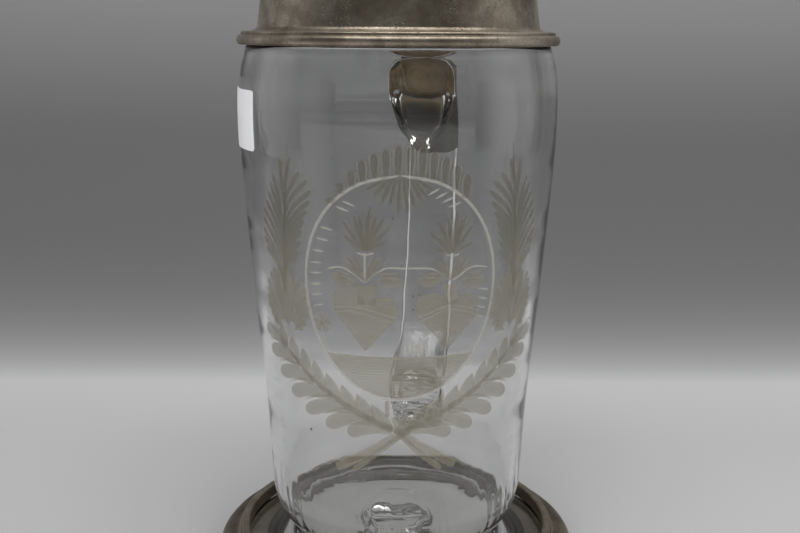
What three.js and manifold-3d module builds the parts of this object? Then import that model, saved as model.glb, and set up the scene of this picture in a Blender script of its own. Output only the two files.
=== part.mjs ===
// Lidded glass tankard, standing on Z = 0 with its handle towards +Y: a blown glass body on an applied foot,
// a pewter ring round the foot, and a domed pewter lid on a knuckled hinge above the strap handle.
// Lengths are millimetres, angles are degrees, +Z is up.

import * as THREE from "three";
import { mergeVertices } from "three/addons/utils/BufferGeometryUtils.js";
import Module from "manifold-3d";

const wasm = await Module();
wasm.setup();

// Facets of every turned piece, shared so that nested walls stay parallel
const turnedFacets = 40;
const pinFacets = 20;

// Glass body: outer radii, with heights above the table or drops below the rim
const bodyHeight = 182.8;
const mouthRadius = 50.6;
const neckRadius = 52.3;
const neckDrop = 8.4;
const shoulderRadius = 53;
const shoulderDrop = 25.8;
const middleRadius = 49.5;
const middleHeight = 104;
const lowerRadius = 45.7;
const lowerHeight = 60;
const heelRadius = 44.5;
const heelHeight = 35;
const baseRadius = 31;
const baseHeight = 14.5;

// Glass body: walls, floor and the pushed-up middle of the floor
const mouthWall = 2.4;
const heelWall = 3.6;
const floorThickness = 5;
const floorRadius = 28;
const kickRadius = 13;
const kickRise = 3;

// Applied glass foot, with the break-off mark of the blowing rod underneath
const footRadius = 54.4;
const footRimHeight = 4.2;
const footRimThickness = 6;
const footNeckRadius = 35.5;
const footNeckFlare = 8;
const footEdgeRound = 1;
const footHollow = 4;
const rodMarkRadius = 10;
const rodMarkDepth = 1;

// Gaps between glass that is fused, and between metal and the glass that it grips
const fusedGap = 0.3;
const gripGap = 0.3;

// Pewter foot ring, measured from the edge of the glass foot
const ringFlare = 9.6;
const ringBeadRadius = 4.6;
const ringBeadHeight = 5.8;
const ringHeight = 15;
const ringLipOverlap = 1.3;
const ringLipWidth = 2.8;
const ringSoleOverlap = 7.4;

// Pewter lid: rim, drum and dome, with heights above its seat on the glass
const seatGap = 0.2;
const rimOverhang = 2.5;
const rimUndercut = 1.1;
const rimBeadHeight = 3.1;
const rimStepInset = 1.5;
const rimStepHeight = 4.3;
const drumInset = 6.8;
const drumFootHeight = 5.6;
const drumCoveWidth = 2.2;
const drumTaper = 1.7;
const drumTopHeight = 18;
const domeInset = 6.6;
const domeFootHeight = 23.6;
const domeTopHeight = 31;
const buttonRadius = 5;
const buttonHeight = 1.6;
const lidWall = 1.8;
const bezelClearance = 0.8;
const bezelDepth = 1.5;
const bezelWall = 2;

// Lid hinge
const knuckleCount = 5;
const knuckleLength = 4.2;
const knuckleGap = 0.2;
const knuckleRadius = 3.6;
const pinRadius = 1.3;
const pinClearance = 0.06;
const pinHeadRadius = 2.1;
const pinHeadThickness = 0.9;
const pinHeadGap = 0.1;
const rimToKnuckleGap = 0.7;
const hingeRise = 4.2;
const lugThickness = 2.6;
const lugSeatGap = 0.15;
const lugPadHeight = 1.2;
const lugPadRadius = 5.6;

// Thumb piece, turned, standing on the hinge lug
const thumbFacets = 24;
const thumbHeight = 21;
const thumbFootRadius = 4.4;
const thumbStemRadius = 2.4;
const thumbBallRadius = 5.8;
const thumbTipRadius = 2;
const thumbGap = 0.1;

// Glass strap handle: how far its centre line stands out from the wall and rises, from the upper root
const handleSteps = 44;
const handleSectionPoints = 12;
const handleRootDrop = 14;
const handleSink = 2;
const crownReach = 15;
const crownRise = 1.5;
const bendReach = 30.7;
const bendFall = 9;
const gripReach = 35.2;
const gripFall = 31;

// Glass strap handle: the same from the lower join, down to the curled tail
const joinHeight = 50;
const fallReach = 38.5;
const fallRise = 48;
const kneeReach = 24;
const kneeRise = 14;
const tailDrop = 12;
const toeReach = 11;
const toeDrop = 18.5;
const tipReach = 21;
const tipDrop = 12.5;
const curlReach = 19.5;
const curlDrop = 4;

// Glass strap handle: section
const handleWidth = 21;
const handleThickness = 9.5;
const rootWidth = 26;
const rootAbove = 9.5;
const rootBelow = 26;
const rootFlareLength = 9.5;
const rootHeelLength = 10.5;
const joinWidth = 23;
const joinFlareLength = 16;
const tailWidth = 17;
const tailThickness = 6;
const crimpPitch = 3.4;
const crimpDepth = 1;

// Pewter strap on the back of the handle, with a band round it and a bracket up to the hinge
const strapThickness = 1.5;
const strapTopWidth = 17;
const strapEndWidth = 20.5;
const strapDrop = 43;
const strapEndRound = 0.12;
const strapEndTip = 0.55;
const strapSteps = 13;
const strapSidePoints = 7;
const strapBodyGap = 0.8;
const bandReach = 12;
const bandWidth = 5;
const bracketDepth = 17;
const bracketWaist = 15;
const saddleToKnuckleGap = 0.5;

// Blank paper label stuck on the glass, to the left of the front
const labelAngle = -64;
const labelWidth = 30;
const labelHeight = 18.8;
const labelDrop = 22.9;
const labelThickness = 0.25;
const labelGap = 0.1;
const labelCornerRadius = 3;
const labelColumns = 12;

// Values that follow from the sizes above
const neckHeight = bodyHeight - neckDrop;
const shoulderHeight = bodyHeight - shoulderDrop;
const lidSeat = bodyHeight + seatGap;
const rimBeadRadius = mouthRadius + rimOverhang;
const drumRadius = rimBeadRadius - drumInset;
const pinY = rimBeadRadius + rimToKnuckleGap + knuckleRadius;
const pinZ = lidSeat + hingeRise;
const hingeLength = knuckleCount * knuckleLength + (knuckleCount - 1) * knuckleGap;
const lugTop = lidSeat + rimStepHeight + lugSeatGap + lugThickness;
const handleRootHeight = bodyHeight - handleRootDrop;

const materials = {
  glass: new THREE.MeshStandardMaterial({ color: 0xe6eae8, roughness: 0.05, metalness: 0 }),
  pewter: new THREE.MeshStandardMaterial({ color: 0x8b847b, roughness: 0.42, metalness: 0.9 }),
  steel: new THREE.MeshStandardMaterial({ color: 0x6f6a64, roughness: 0.45, metalness: 1 }),
  paper: new THREE.MeshStandardMaterial({ color: 0xf1f1f3, roughness: 0.9, metalness: 0 }),
};

const radians = THREE.MathUtils.degToRad;
const lerp = THREE.MathUtils.lerp;
const smoothstep = THREE.MathUtils.smoothstep;

// A closed geometry as a solid that can be joined and cut.
function solidFrom(geometry) {
  const bare = geometry.index ? geometry.toNonIndexed() : geometry.clone();
  bare.deleteAttribute("normal");
  bare.deleteAttribute("uv");
  const merged = mergeVertices(bare, 1e-4);
  const solid = new wasm.Manifold(
    new wasm.Mesh({
      numProp: 3,
      vertProperties: merged.attributes.position.array,
      triVerts: new Uint32Array(merged.index.array),
    }),
  );
  return solid;
}

// A solid as a named mesh with flat-shaded faces.
function meshFrom(name, solid, material) {
  const data = solid.getMesh();
  const geometry = new THREE.BufferGeometry();
  geometry.setAttribute("position", new THREE.BufferAttribute(data.vertProperties, data.numProp));
  geometry.setIndex(new THREE.BufferAttribute(data.triVerts, 1));
  const faceted = geometry.toNonIndexed();
  faceted.computeVertexNormals();
  const mesh = new THREE.Mesh(faceted, material);
  mesh.name = name;
  return mesh;
}

// A solid of revolution about Z, from an anticlockwise outline of [radius, height] with the axis on its left.
function turned(outline, facets = turnedFacets) {
  const points = outline.map(([radius, height]) => new THREE.Vector2(radius, height));
  return solidFrom(new THREE.LatheGeometry(points, facets).rotateX(Math.PI / 2));
}

// A closed ring of revolution, whose outline doesn't touch the axis.
function turnedRing(outline, facets = turnedFacets) {
  return turned([...outline, outline[0]], facets);
}

// Points along an ellipse, both ends included: centre, half axes, and the two angles.
function arc([centreR, centreZ], [halfR, halfZ], from, to, steps) {
  return Array.from({ length: steps + 1 }, (_, i) => {
    const angle = radians(lerp(from, to, i / steps));
    return [centreR + halfR * Math.cos(angle), centreZ + halfZ * Math.sin(angle)];
  });
}

// A smooth curve through [a, b] points, sampled in equal lengths.
function curveThrough(points) {
  return new THREE.CatmullRomCurve3(
    points.map(([a, b]) => new THREE.Vector3(a, b, 0)),
    false,
    "centripetal",
  );
}

// A solid through equal closed loops of points, each running clockwise as the next one sees it. The first and
// the last loop are closed by pairing their two halves.
function lofted(loops) {
  const count = loops[0].length;
  const positions = loops.flat().flatMap((point) => [point.x, point.y, point.z]);
  const faces = [];
  for (let row = 0; row < loops.length - 1; row++) {
    for (let i = 0; i < count; i++) {
      const a = row * count + i;
      const b = row * count + ((i + 1) % count);
      faces.push(a, b + count, b, a, a + count, b + count);
    }
  }
  const last = (loops.length - 1) * count;
  for (let i = 0; i < count / 2 - 1; i++) {
    const j = count - 1 - i;
    faces.push(i, j - 1, j, i, i + 1, j - 1);
    faces.push(last + i, last + j, last + j - 1, last + i, last + j - 1, last + i + 1);
  }
  const geometry = new THREE.BufferGeometry();
  geometry.setAttribute("position", new THREE.Float32BufferAttribute(positions, 3));
  geometry.setIndex(faces);
  return solidFrom(geometry);
}

// A rectangular block between two corners.
function block([x0, y0, z0], [x1, y1, z1]) {
  const geometry = new THREE.BoxGeometry(x1 - x0, y1 - y0, z1 - z0);
  geometry.translate((x0 + x1) / 2, (y0 + y1) / 2, (z0 + z1) / 2);
  return solidFrom(geometry);
}

// A flat shape drawn in (first, second) axes and given depth along the third.
function extruded(shape, depth, first, second) {
  const geometry = new THREE.ExtrudeGeometry(shape, { depth, bevelEnabled: false, curveSegments: 6 });
  geometry.translate(0, 0, -depth / 2);
  const third = new THREE.Vector3().crossVectors(first, second);
  geometry.applyMatrix4(new THREE.Matrix4().makeBasis(first, second, third));
  return solidFrom(geometry);
}

// A cylinder along X round the hinge axis.
function onHingeAxis(x0, x1, radius) {
  const geometry = new THREE.CylinderGeometry(radius, radius, x1 - x0, pinFacets);
  geometry.rotateZ(Math.PI / 2);
  geometry.translate((x0 + x1) / 2, pinY, pinZ);
  return solidFrom(geometry);
}

// The outer wall of the body from heel to mouth, as a curve of (radius, height).
const wallCurve = curveThrough([
  [heelRadius, heelHeight],
  [lowerRadius, lowerHeight],
  [middleRadius, middleHeight],
  [shoulderRadius, shoulderHeight],
  [neckRadius, neckHeight],
  [mouthRadius, bodyHeight - mouthWall / 2],
]);
const wallSamples = wallCurve.getSpacedPoints(240);

// The body's outer radius at a height, from its sampled wall and the rounded corner below it.
function bodyRadius(height) {
  if (height < heelHeight) {
    const drop = Math.min(1, (heelHeight - height) / (heelHeight - baseHeight));
    return baseRadius + (heelRadius - baseRadius) * Math.sqrt(1 - drop * drop);
  }
  const above = Math.max(1, wallSamples.findIndex((point) => point.y >= height));
  const [low, high] = wallSamples.slice(above - 1, above + 1);
  return lerp(low.x, high.x, (height - low.y) / (high.y - low.y));
}

// The wall's thickness, which grows from the mouth down to the heel.
function wallAt(height) {
  return lerp(heelWall, mouthWall, smoothstep(height, heelHeight, bodyHeight));
}

// The body's outer outline from the middle of its base to the rim, moved outwards by a margin.
function bodyOutline(margin) {
  const cornerHalf = [heelRadius - baseRadius + margin, heelHeight - baseHeight + margin];
  const corner = arc([baseRadius, heelHeight], cornerHalf, -90, 0, 6);
  const wall = wallCurve.getSpacedPoints(13).slice(1);
  return [[0, baseHeight - margin], ...corner, ...wall.map((point) => [point.x + margin, point.y])];
}

// The space that the body takes up, filled in and grown by a margin, with its mouth carried on upwards.
function bodyEnvelope(margin) {
  const above = lidSeat + hingeRise;
  return turned([...bodyOutline(margin), [mouthRadius + margin, above], [0, above]]);
}

function glassBody() {
  const floorHeight = baseHeight + floorThickness;
  const innerWall = wallCurve.getSpacedPoints(9).map((point) => [point.x - wallAt(point.y), point.y]);
  const cornerHalf = [heelRadius - heelWall - floorRadius, heelHeight - floorHeight];
  const innerCorner = arc([floorRadius, heelHeight], cornerHalf, 0, -90, 5);
  const half = mouthWall / 2;
  const rim = arc([mouthRadius - half, bodyHeight - half], [half, half], 0, 180, 4);
  const kick = [
    [kickRadius, floorHeight],
    [kickRadius * 0.7, floorHeight + kickRise * 0.7],
    [0, floorHeight + kickRise],
  ];
  const inside = [...innerWall.reverse(), ...innerCorner.slice(1), ...kick];
  return turned([...bodyOutline(0), ...rim.slice(1, -1), ...inside]);
}

function glassFoot() {
  const top = footRimHeight + footRimThickness;
  const neckHalf = [footNeckFlare, baseHeight - fusedGap - top];
  const neck = arc([footNeckRadius + footNeckFlare, baseHeight - fusedGap], neckHalf, 270, 180, 5);
  const edge = [footEdgeRound, footEdgeRound];
  const inset = footRadius - footEdgeRound;
  return turned([
    [0, footRimHeight + footHollow],
    [rodMarkRadius, footRimHeight + footHollow],
    [rodMarkRadius + 1, footRimHeight + footHollow - rodMarkDepth],
    [footNeckRadius, footRimHeight + footHollow / 3],
    [footRadius - ringSoleOverlap, footRimHeight],
    ...arc([inset, footRimHeight + footEdgeRound], edge, -90, 0, 2),
    ...arc([inset, top - footEdgeRound], edge, 0, 90, 2),
    ...neck,
    [0, baseHeight - fusedGap],
  ]);
}

function footRing() {
  const ledge = footRimHeight - gripGap;
  const groove = footRadius + gripGap;
  const lipUnderside = footRimHeight + footRimThickness + gripGap;
  const lipInner = footRadius - ringLipOverlap;
  const lipOuter = lipInner + ringLipWidth;
  const sole = footRadius - ringSoleOverlap;
  const beadCentre = footRadius + ringFlare - ringBeadRadius;
  const bead = arc([beadCentre, ringBeadHeight], [ringBeadRadius, ringBeadRadius], -62, 84, 8);
  const coveTop = ringHeight - 1.6;
  const coveFoot = ringBeadHeight + ringBeadRadius + 0.4;
  const cove = arc([beadCentre, coveTop], [beadCentre - lipOuter - 0.6, coveTop - coveFoot], 270, 180, 3);
  return turnedRing([
    [sole + 0.6, 0],
    [beadCentre + 1, 0],
    ...bead,
    ...cove,
    [lipOuter, ringHeight - 0.8],
    [lipOuter - 0.7, ringHeight],
    [lipInner + 0.6, ringHeight],
    [lipInner, ringHeight - 0.6],
    [lipInner, lipUnderside],
    [groove, lipUnderside],
    [groove, ledge],
    [sole, ledge],
    [sole, 0.6],
  ]);
}

// The lid's outline, in heights above its seat, runs from the bezel that drops into the mouth over the rim, the
// drum and the dome, and back along the inside.
function lid() {
  const beadHalf = rimBeadHeight / 2;
  const bead = arc([rimBeadRadius - rimUndercut, beadHalf], [rimUndercut, beadHalf], -90, 90, 7);
  const bezel = mouthRadius - mouthWall - bezelClearance;
  const stepRadius = rimBeadRadius - rimStepInset;
  const drumTop = drumRadius - drumTaper;
  const domeRadius = drumTop - domeInset;
  const roll = [domeInset - 1, domeFootHeight - drumTopHeight];
  const innerRoll = [domeInset, domeFootHeight - lidWall - drumTopHeight + 1];
  const outline = [
    [bezel - bezelWall, -bezelDepth],
    [bezel - 0.5, -bezelDepth],
    [bezel, 0.5 - bezelDepth],
    [bezel, 0],
    ...bead,
    [stepRadius, rimBeadHeight + 0.2],
    [stepRadius, rimStepHeight - 0.3],
    [stepRadius - 0.4, rimStepHeight],
    [drumRadius + drumCoveWidth, rimStepHeight],
    [drumRadius + 0.6, rimStepHeight + 0.6],
    [drumRadius, drumFootHeight],
    ...arc([domeRadius + 1, drumTopHeight], roll, 0, 90, 5),
    ...arc([0, domeFootHeight], [domeRadius, domeTopHeight - domeFootHeight], 8, 82, 6),
    [buttonRadius, domeTopHeight],
    [buttonRadius - 0.8, domeTopHeight + buttonHeight * 0.8],
    [0, domeTopHeight + buttonHeight],
    ...arc([0, domeFootHeight - lidWall], [domeRadius - lidWall, domeTopHeight - domeFootHeight], 90, 12, 5),
    ...arc([domeRadius - lidWall, drumTopHeight - 1], innerRoll, 90, 0, 3),
    [drumRadius - lidWall, drumFootHeight],
    [bezel - bezelWall, 0],
    [bezel - bezelWall, -bezelDepth],
  ];
  return turned(outline.map(([radius, height]) => [radius, lidSeat + height]));
}

// The knuckles that belong to one side of the hinge, each with an arm to its own plate.
function knuckles(firstIndex, armBetween) {
  let solid = null;
  for (let index = firstIndex; index < knuckleCount; index += 2) {
    const x0 = index * (knuckleLength + knuckleGap) - hingeLength / 2;
    const x1 = x0 + knuckleLength;
    const knuckle = onHingeAxis(x0, x1, knuckleRadius).add(armBetween(x0, x1));
    solid = solid ? solid.add(knuckle) : knuckle;
  }
  return solid;
}

function pinBore() {
  return onHingeAxis(-hingeLength, hingeLength, pinRadius + pinClearance);
}

// The thumb piece stands midway between the drum and the hinge axis.
const thumbY = (drumRadius + pinY) / 2 + 0.8;

// A plate soldered on the lid's rim, with a pad for the thumb piece and the knuckles that turn with the lid.
function hingeLug() {
  const bottom = lugTop - lugThickness;
  const back = pinY - knuckleRadius - rimToKnuckleGap / 2;
  const halfWidth = hingeLength / 2;
  const plate = block([-halfWidth, drumRadius, bottom], [halfWidth, back, lugTop]);
  const arms = knuckles(1, (x0, x1) => block([x0, back - 1, bottom], [x1, pinY, pinZ + knuckleRadius]));
  const pad = new THREE.CylinderGeometry(lugPadRadius - 0.8, lugPadRadius, lugPadHeight + 0.8, thumbFacets);
  pad.rotateX(Math.PI / 2);
  pad.translate(0, thumbY, lugTop + (lugPadHeight - 0.8) / 2);
  const middle = knuckleLength / 2 + knuckleGap;
  const sweep = onHingeAxis(-middle, middle, knuckleRadius + saddleToKnuckleGap);
  const keepOut = drumRadius + drumCoveWidth + lugSeatGap;
  const above = lugTop + lugThickness;
  const drum = turned([[0, lidSeat], [keepOut, lidSeat], [keepOut, above], [0, above]]);
  return plate.add(solidFrom(pad).subtract(sweep)).add(arms).subtract(drum).subtract(pinBore());
}

function thumbPiece() {
  const ballCentre = thumbHeight - thumbTipRadius * 1.4 - thumbBallRadius;
  const tipCentre = [0, thumbHeight - thumbTipRadius];
  const outline = [
    [0, 0],
    [thumbFootRadius, 0],
    [thumbFootRadius, 0.9],
    [thumbFootRadius - 1.2, 1.6],
    [thumbStemRadius, 3.2],
    [thumbStemRadius, ballCentre - thumbBallRadius * 0.95],
    ...arc([0, ballCentre], [thumbBallRadius, thumbBallRadius], -62, 62, 7),
    ...arc(tipCentre, [thumbTipRadius, thumbTipRadius], -30, 80, 3),
    [0, thumbHeight],
  ];
  return turned(outline, thumbFacets).translate([0, thumbY, lugTop + lugPadHeight + thumbGap]);
}

function hingePin() {
  const half = hingeLength / 2 + pinHeadGap;
  const shank = onHingeAxis(-half - pinHeadThickness / 2, half + pinHeadThickness / 2, pinRadius);
  const leftHead = onHingeAxis(-half - pinHeadThickness, -half, pinHeadRadius);
  const rightHead = onHingeAxis(half, half + pinHeadThickness, pinHeadRadius);
  return shank.add(leftHead).add(rightHead);
}

// The handle's centre line as a curve of (reach from the axis, height), from the upper root to the tail's end.
const rootReach = bodyRadius(handleRootHeight);
const joinReach = bodyRadius(joinHeight);
const pressedReach = joinReach + handleThickness / 2 - handleSink;
const handleCurve = curveThrough([
  [rootReach - handleSink, handleRootHeight],
  [rootReach + crownReach, handleRootHeight + crownRise],
  [rootReach + bendReach, handleRootHeight - bendFall],
  [rootReach + gripReach, handleRootHeight - gripFall],
  [joinReach + fallReach, joinHeight + fallRise],
  [joinReach + kneeReach, joinHeight + kneeRise],
  [pressedReach, joinHeight],
  [pressedReach, joinHeight - tailDrop],
  [joinReach + toeReach, joinHeight - toeDrop],
  [joinReach + tipReach, joinHeight - tipDrop],
  [joinReach + curlReach, joinHeight - curlDrop],
]);
handleCurve.arcLengthDivisions = 600;
const handleLength = handleCurve.getLength();

// The share of the handle's length at which its centre line, past the crown, first falls to a height.
function shareAtHeight(height) {
  const steps = 400;
  const crown = Math.round((steps * crownReach) / handleLength);
  for (let i = crown; i < steps; i++) {
    if (handleCurve.getPointAt(i / steps).y <= height) return i / steps;
  }
  return 1;
}

const joinShare = shareAtHeight(joinHeight);

// How far the handle reaches from its centre line at a share of its length: to each side, above (away from the
// hand) and below. It is flared where it is fused to the body, with a long heel under the root, and it is thinned
// and crimped along the tail.
function handleHalfSize(share) {
  const fromRoot = share * handleLength;
  const fromJoin = (share - joinShare) * handleLength;
  const root = Math.exp(-((fromRoot / rootFlareLength) ** 2));
  const heel = Math.exp(-((fromRoot / rootHeelLength) ** 2));
  const join = Math.exp(-((fromJoin / joinFlareLength) ** 2));
  const tail = smoothstep(fromJoin, 0, (1 - joinShare) * handleLength * 0.6);
  const shaftWidth = lerp(handleWidth, tailWidth, tail);
  const crimp = tail * crimpDepth * Math.cos((2 * Math.PI * fromRoot) / crimpPitch);
  const shaftHalf = (lerp(handleThickness, tailThickness, tail) + crimp) / 2;
  return {
    side: lerp(lerp(shaftWidth, joinWidth, join), rootWidth, root) / 2,
    above: lerp(shaftHalf, rootAbove, root),
    below: lerp(shaftHalf, rootBelow, heel),
  };
}

// A point on the handle's skin, or a margin outside it, at an angle round the section from +X.
function handlePoint(share, angle, margin) {
  const centre = handleCurve.getPointAt(share);
  const tangent = handleCurve.getTangentAt(share);
  const half = handleHalfSize(share);
  const outward = ((Math.sin(angle) > 0 ? half.above : half.below) + margin) * Math.sin(angle);
  const across = (half.side + margin) * Math.cos(angle);
  return new THREE.Vector3(across, centre.x - tangent.y * outward, centre.y + tangent.x * outward);
}

// A stretch of the handle grown by a margin, before it is fitted to the body.
function handleStretch(margin, from = 0, to = 1, steps = handleSteps) {
  const loops = [];
  for (let i = 0; i <= steps; i++) {
    const share = lerp(from, to, i / steps);
    const loop = [];
    for (let k = 0; k < handleSectionPoints; k++) {
      loop.push(handlePoint(share, (2 * Math.PI * (k + 0.5)) / handleSectionPoints, margin));
    }
    loops.push(loop);
  }
  return lofted(loops);
}

function glassHandle() {
  return handleStretch(0).subtract(bodyEnvelope(fusedGap));
}

// The strap's tongue: it lies on the handle's back, widens downwards and ends round.
function strapTongue(from, to) {
  const loops = [];
  for (let i = 0; i <= strapSteps; i++) {
    const along = i / strapSteps;
    const share = lerp(from, to, along);
    const intoEnd = Math.max(0, along - 1 + strapEndRound) / strapEndRound;
    const roundEnd = Math.max(strapEndTip, Math.sqrt(1 - intoEnd * intoEnd));
    const halfWidth = (lerp(strapTopWidth, strapEndWidth, along) * roundEnd) / 2;
    const skin = handleHalfSize(share).side + gripGap + strapThickness;
    const half = Math.asin(Math.min(0.98, halfWidth / skin));
    const angles = Array.from({ length: strapSidePoints }, (_, k) =>
      lerp(Math.PI / 2 - half, Math.PI / 2 + half, k / (strapSidePoints - 1)),
    );
    const outer = angles.map((angle) => handlePoint(share, angle, gripGap + strapThickness));
    const inner = angles.map((angle) => handlePoint(share, angle, gripGap)).reverse();
    loops.push([...outer, ...inner]);
  }
  return lofted(loops);
}

// The bracket that carries the fixed knuckles: hollowed behind, and drawn in at the sides towards the handle.
function hingeBracket() {
  const front = pinY - knuckleRadius + 0.1;
  const back = pinY + knuckleRadius - 0.1;
  const top = pinZ - knuckleRadius - saddleToKnuckleGap;
  const bottom = pinZ - bracketDepth;
  const side = new THREE.Shape();
  side.moveTo(front, bottom);
  side.lineTo(back + crownReach / 2, bottom);
  side.quadraticCurveTo(back, top - bracketDepth / 3, back, top);
  side.lineTo(front, top);
  const half = hingeLength / 2;
  const face = new THREE.Shape();
  face.moveTo(-bracketWaist / 2, bottom);
  face.lineTo(bracketWaist / 2, bottom);
  face.quadraticCurveTo(bracketWaist / 2, top - 1.5, half, top - 1.2);
  face.lineTo(half, top);
  face.lineTo(-half, top);
  face.lineTo(-half, top - 1.2);
  face.quadraticCurveTo(-bracketWaist / 2, top - 1.5, -bracketWaist / 2, bottom);
  const along = new THREE.Vector3(1, 0, 0);
  const outward = new THREE.Vector3(0, 1, 0);
  const up = new THREE.Vector3(0, 0, 1);
  const sideSolid = extruded(side, 2 * hingeLength, outward, up);
  const faceSolid = extruded(face, 4 * pinY, along, up);
  const arms = knuckles(0, (x0, x1) => block([x0, front, top - 1], [x1, back, pinZ]));
  return sideSolid.intersect(faceSolid).add(arms);
}

// A pewter strap on the handle's back, held by a band round the handle, with the fixed side of the hinge.
function handleStrap() {
  const from = (pinY - knuckleRadius - rootReach + handleSink) / handleLength;
  const tongue = strapTongue(from, shareAtHeight(bodyHeight - strapDrop));
  const bandFrom = (bandReach + handleSink) / handleLength;
  const band = handleStretch(gripGap + strapThickness, bandFrom, bandFrom + bandWidth / handleLength, 3);
  const metal = hingeBracket().add(band).subtract(handleStretch(gripGap)).add(tongue);
  return metal.subtract(bodyEnvelope(strapBodyGap)).subtract(pinBore());
}

// A blank sticker bent round the body, with rounded corners.
function paperLabel() {
  const centreHeight = bodyHeight - labelDrop;
  const halfWidth = labelWidth / 2;
  const loops = [];
  for (let i = 0; i <= labelColumns; i++) {
    const across = lerp(-halfWidth, halfWidth, i / labelColumns);
    const intoCorner = Math.max(0, Math.abs(across) - halfWidth + labelCornerRadius);
    const cut = labelCornerRadius - Math.sqrt(labelCornerRadius ** 2 - intoCorner ** 2);
    const halfHeight = labelHeight / 2 - cut;
    const angle = radians(labelAngle) + across / shoulderRadius;
    const heights = [-1, -0.5, 0, 0.5, 1].map((side) => centreHeight + side * halfHeight);
    const place = (height, margin) => {
      const radius = bodyRadius(height) + labelGap + margin;
      return new THREE.Vector3(radius * Math.sin(angle), -radius * Math.cos(angle), height);
    };
    const outer = heights.map((height) => place(height, labelThickness));
    const inner = heights.map((height) => place(height, 0)).reverse();
    loops.push([...outer, ...inner]);
  }
  return lofted(loops);
}

const fixedPieces = new THREE.Group();
fixedPieces.add(
  meshFrom("glass_body", glassBody(), materials.glass),
  meshFrom("glass_foot", glassFoot(), materials.glass),
  meshFrom("glass_handle", glassHandle(), materials.glass),
  meshFrom("foot_ring", footRing(), materials.pewter),
  meshFrom("handle_strap", handleStrap(), materials.pewter),
  meshFrom("hinge_pin", hingePin(), materials.steel),
  meshFrom("paper_label", paperLabel(), materials.paper),
);

const turningPieces = new THREE.Group();
turningPieces.add(
  meshFrom("lid", lid(), materials.pewter),
  meshFrom("lid_hinge_lug", hingeLug(), materials.pewter),
  meshFrom("thumb_piece", thumbPiece(), materials.pewter),
);

const tankard = new THREE.Group();
tankard.add(fixedPieces, turningPieces);

// The origin is under the middle of the whole object's box, handle included.
const box = new THREE.Box3().setFromObject(tankard);
tankard.position.y = -(box.min.y + box.max.y) / 2;

export default tankard;
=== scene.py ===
"""Looks of a lidded glass tankard: blown glass with an engraved wreath, pewter mounts and a blank label.

Lengths are millimetres while a piece is shaped and metres in its mesh. The vessel's axis is upright, and the
handle stands towards +Y.
"""

import logging
import math
from dataclasses import dataclass, field
from enum import Enum
from typing import Sequence, Union

import bmesh
import bpy
import numpy as np
from mathutils import Matrix, Vector


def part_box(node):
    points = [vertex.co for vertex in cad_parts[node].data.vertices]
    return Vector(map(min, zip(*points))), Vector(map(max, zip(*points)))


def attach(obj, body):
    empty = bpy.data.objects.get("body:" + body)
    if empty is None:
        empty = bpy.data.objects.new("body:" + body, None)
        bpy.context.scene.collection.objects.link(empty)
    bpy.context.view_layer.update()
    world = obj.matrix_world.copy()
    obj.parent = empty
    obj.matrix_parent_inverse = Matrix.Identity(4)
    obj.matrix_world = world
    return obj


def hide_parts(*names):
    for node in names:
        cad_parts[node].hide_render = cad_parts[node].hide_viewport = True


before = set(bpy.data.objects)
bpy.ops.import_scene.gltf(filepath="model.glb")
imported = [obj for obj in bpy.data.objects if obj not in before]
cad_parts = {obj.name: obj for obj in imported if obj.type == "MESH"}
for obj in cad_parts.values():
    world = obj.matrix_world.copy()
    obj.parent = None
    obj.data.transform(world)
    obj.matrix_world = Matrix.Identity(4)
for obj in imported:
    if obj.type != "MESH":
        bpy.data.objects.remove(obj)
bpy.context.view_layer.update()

MM = 0.001
TANKARD = "tankard"
LID_ASSEMBLY = "lid_assembly"
LOG = logging.getLogger("tankard")

Point = tuple[float, float]
Colour = tuple[float, float, float]


def middle_of(node: str) -> tuple[float, float, float]:
    """Returns the middle of a CAD node's box, in millimetres."""
    low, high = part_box(node)
    return tuple((low + high) / 2 / MM)


AXIS_Y = middle_of("glass_body")[1]


class Taper(Enum):
    """How the width of an engraved stroke runs from its root to its tip."""

    LEAF = "pointed at both ends"
    LOBE = "thin at its root, broad and round at its tip"
    PETAL = "nearly even, with a round tip"
    LINE = "even, with round ends"
    THORN = "broad and round at its root, pointed at its tip"


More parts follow.
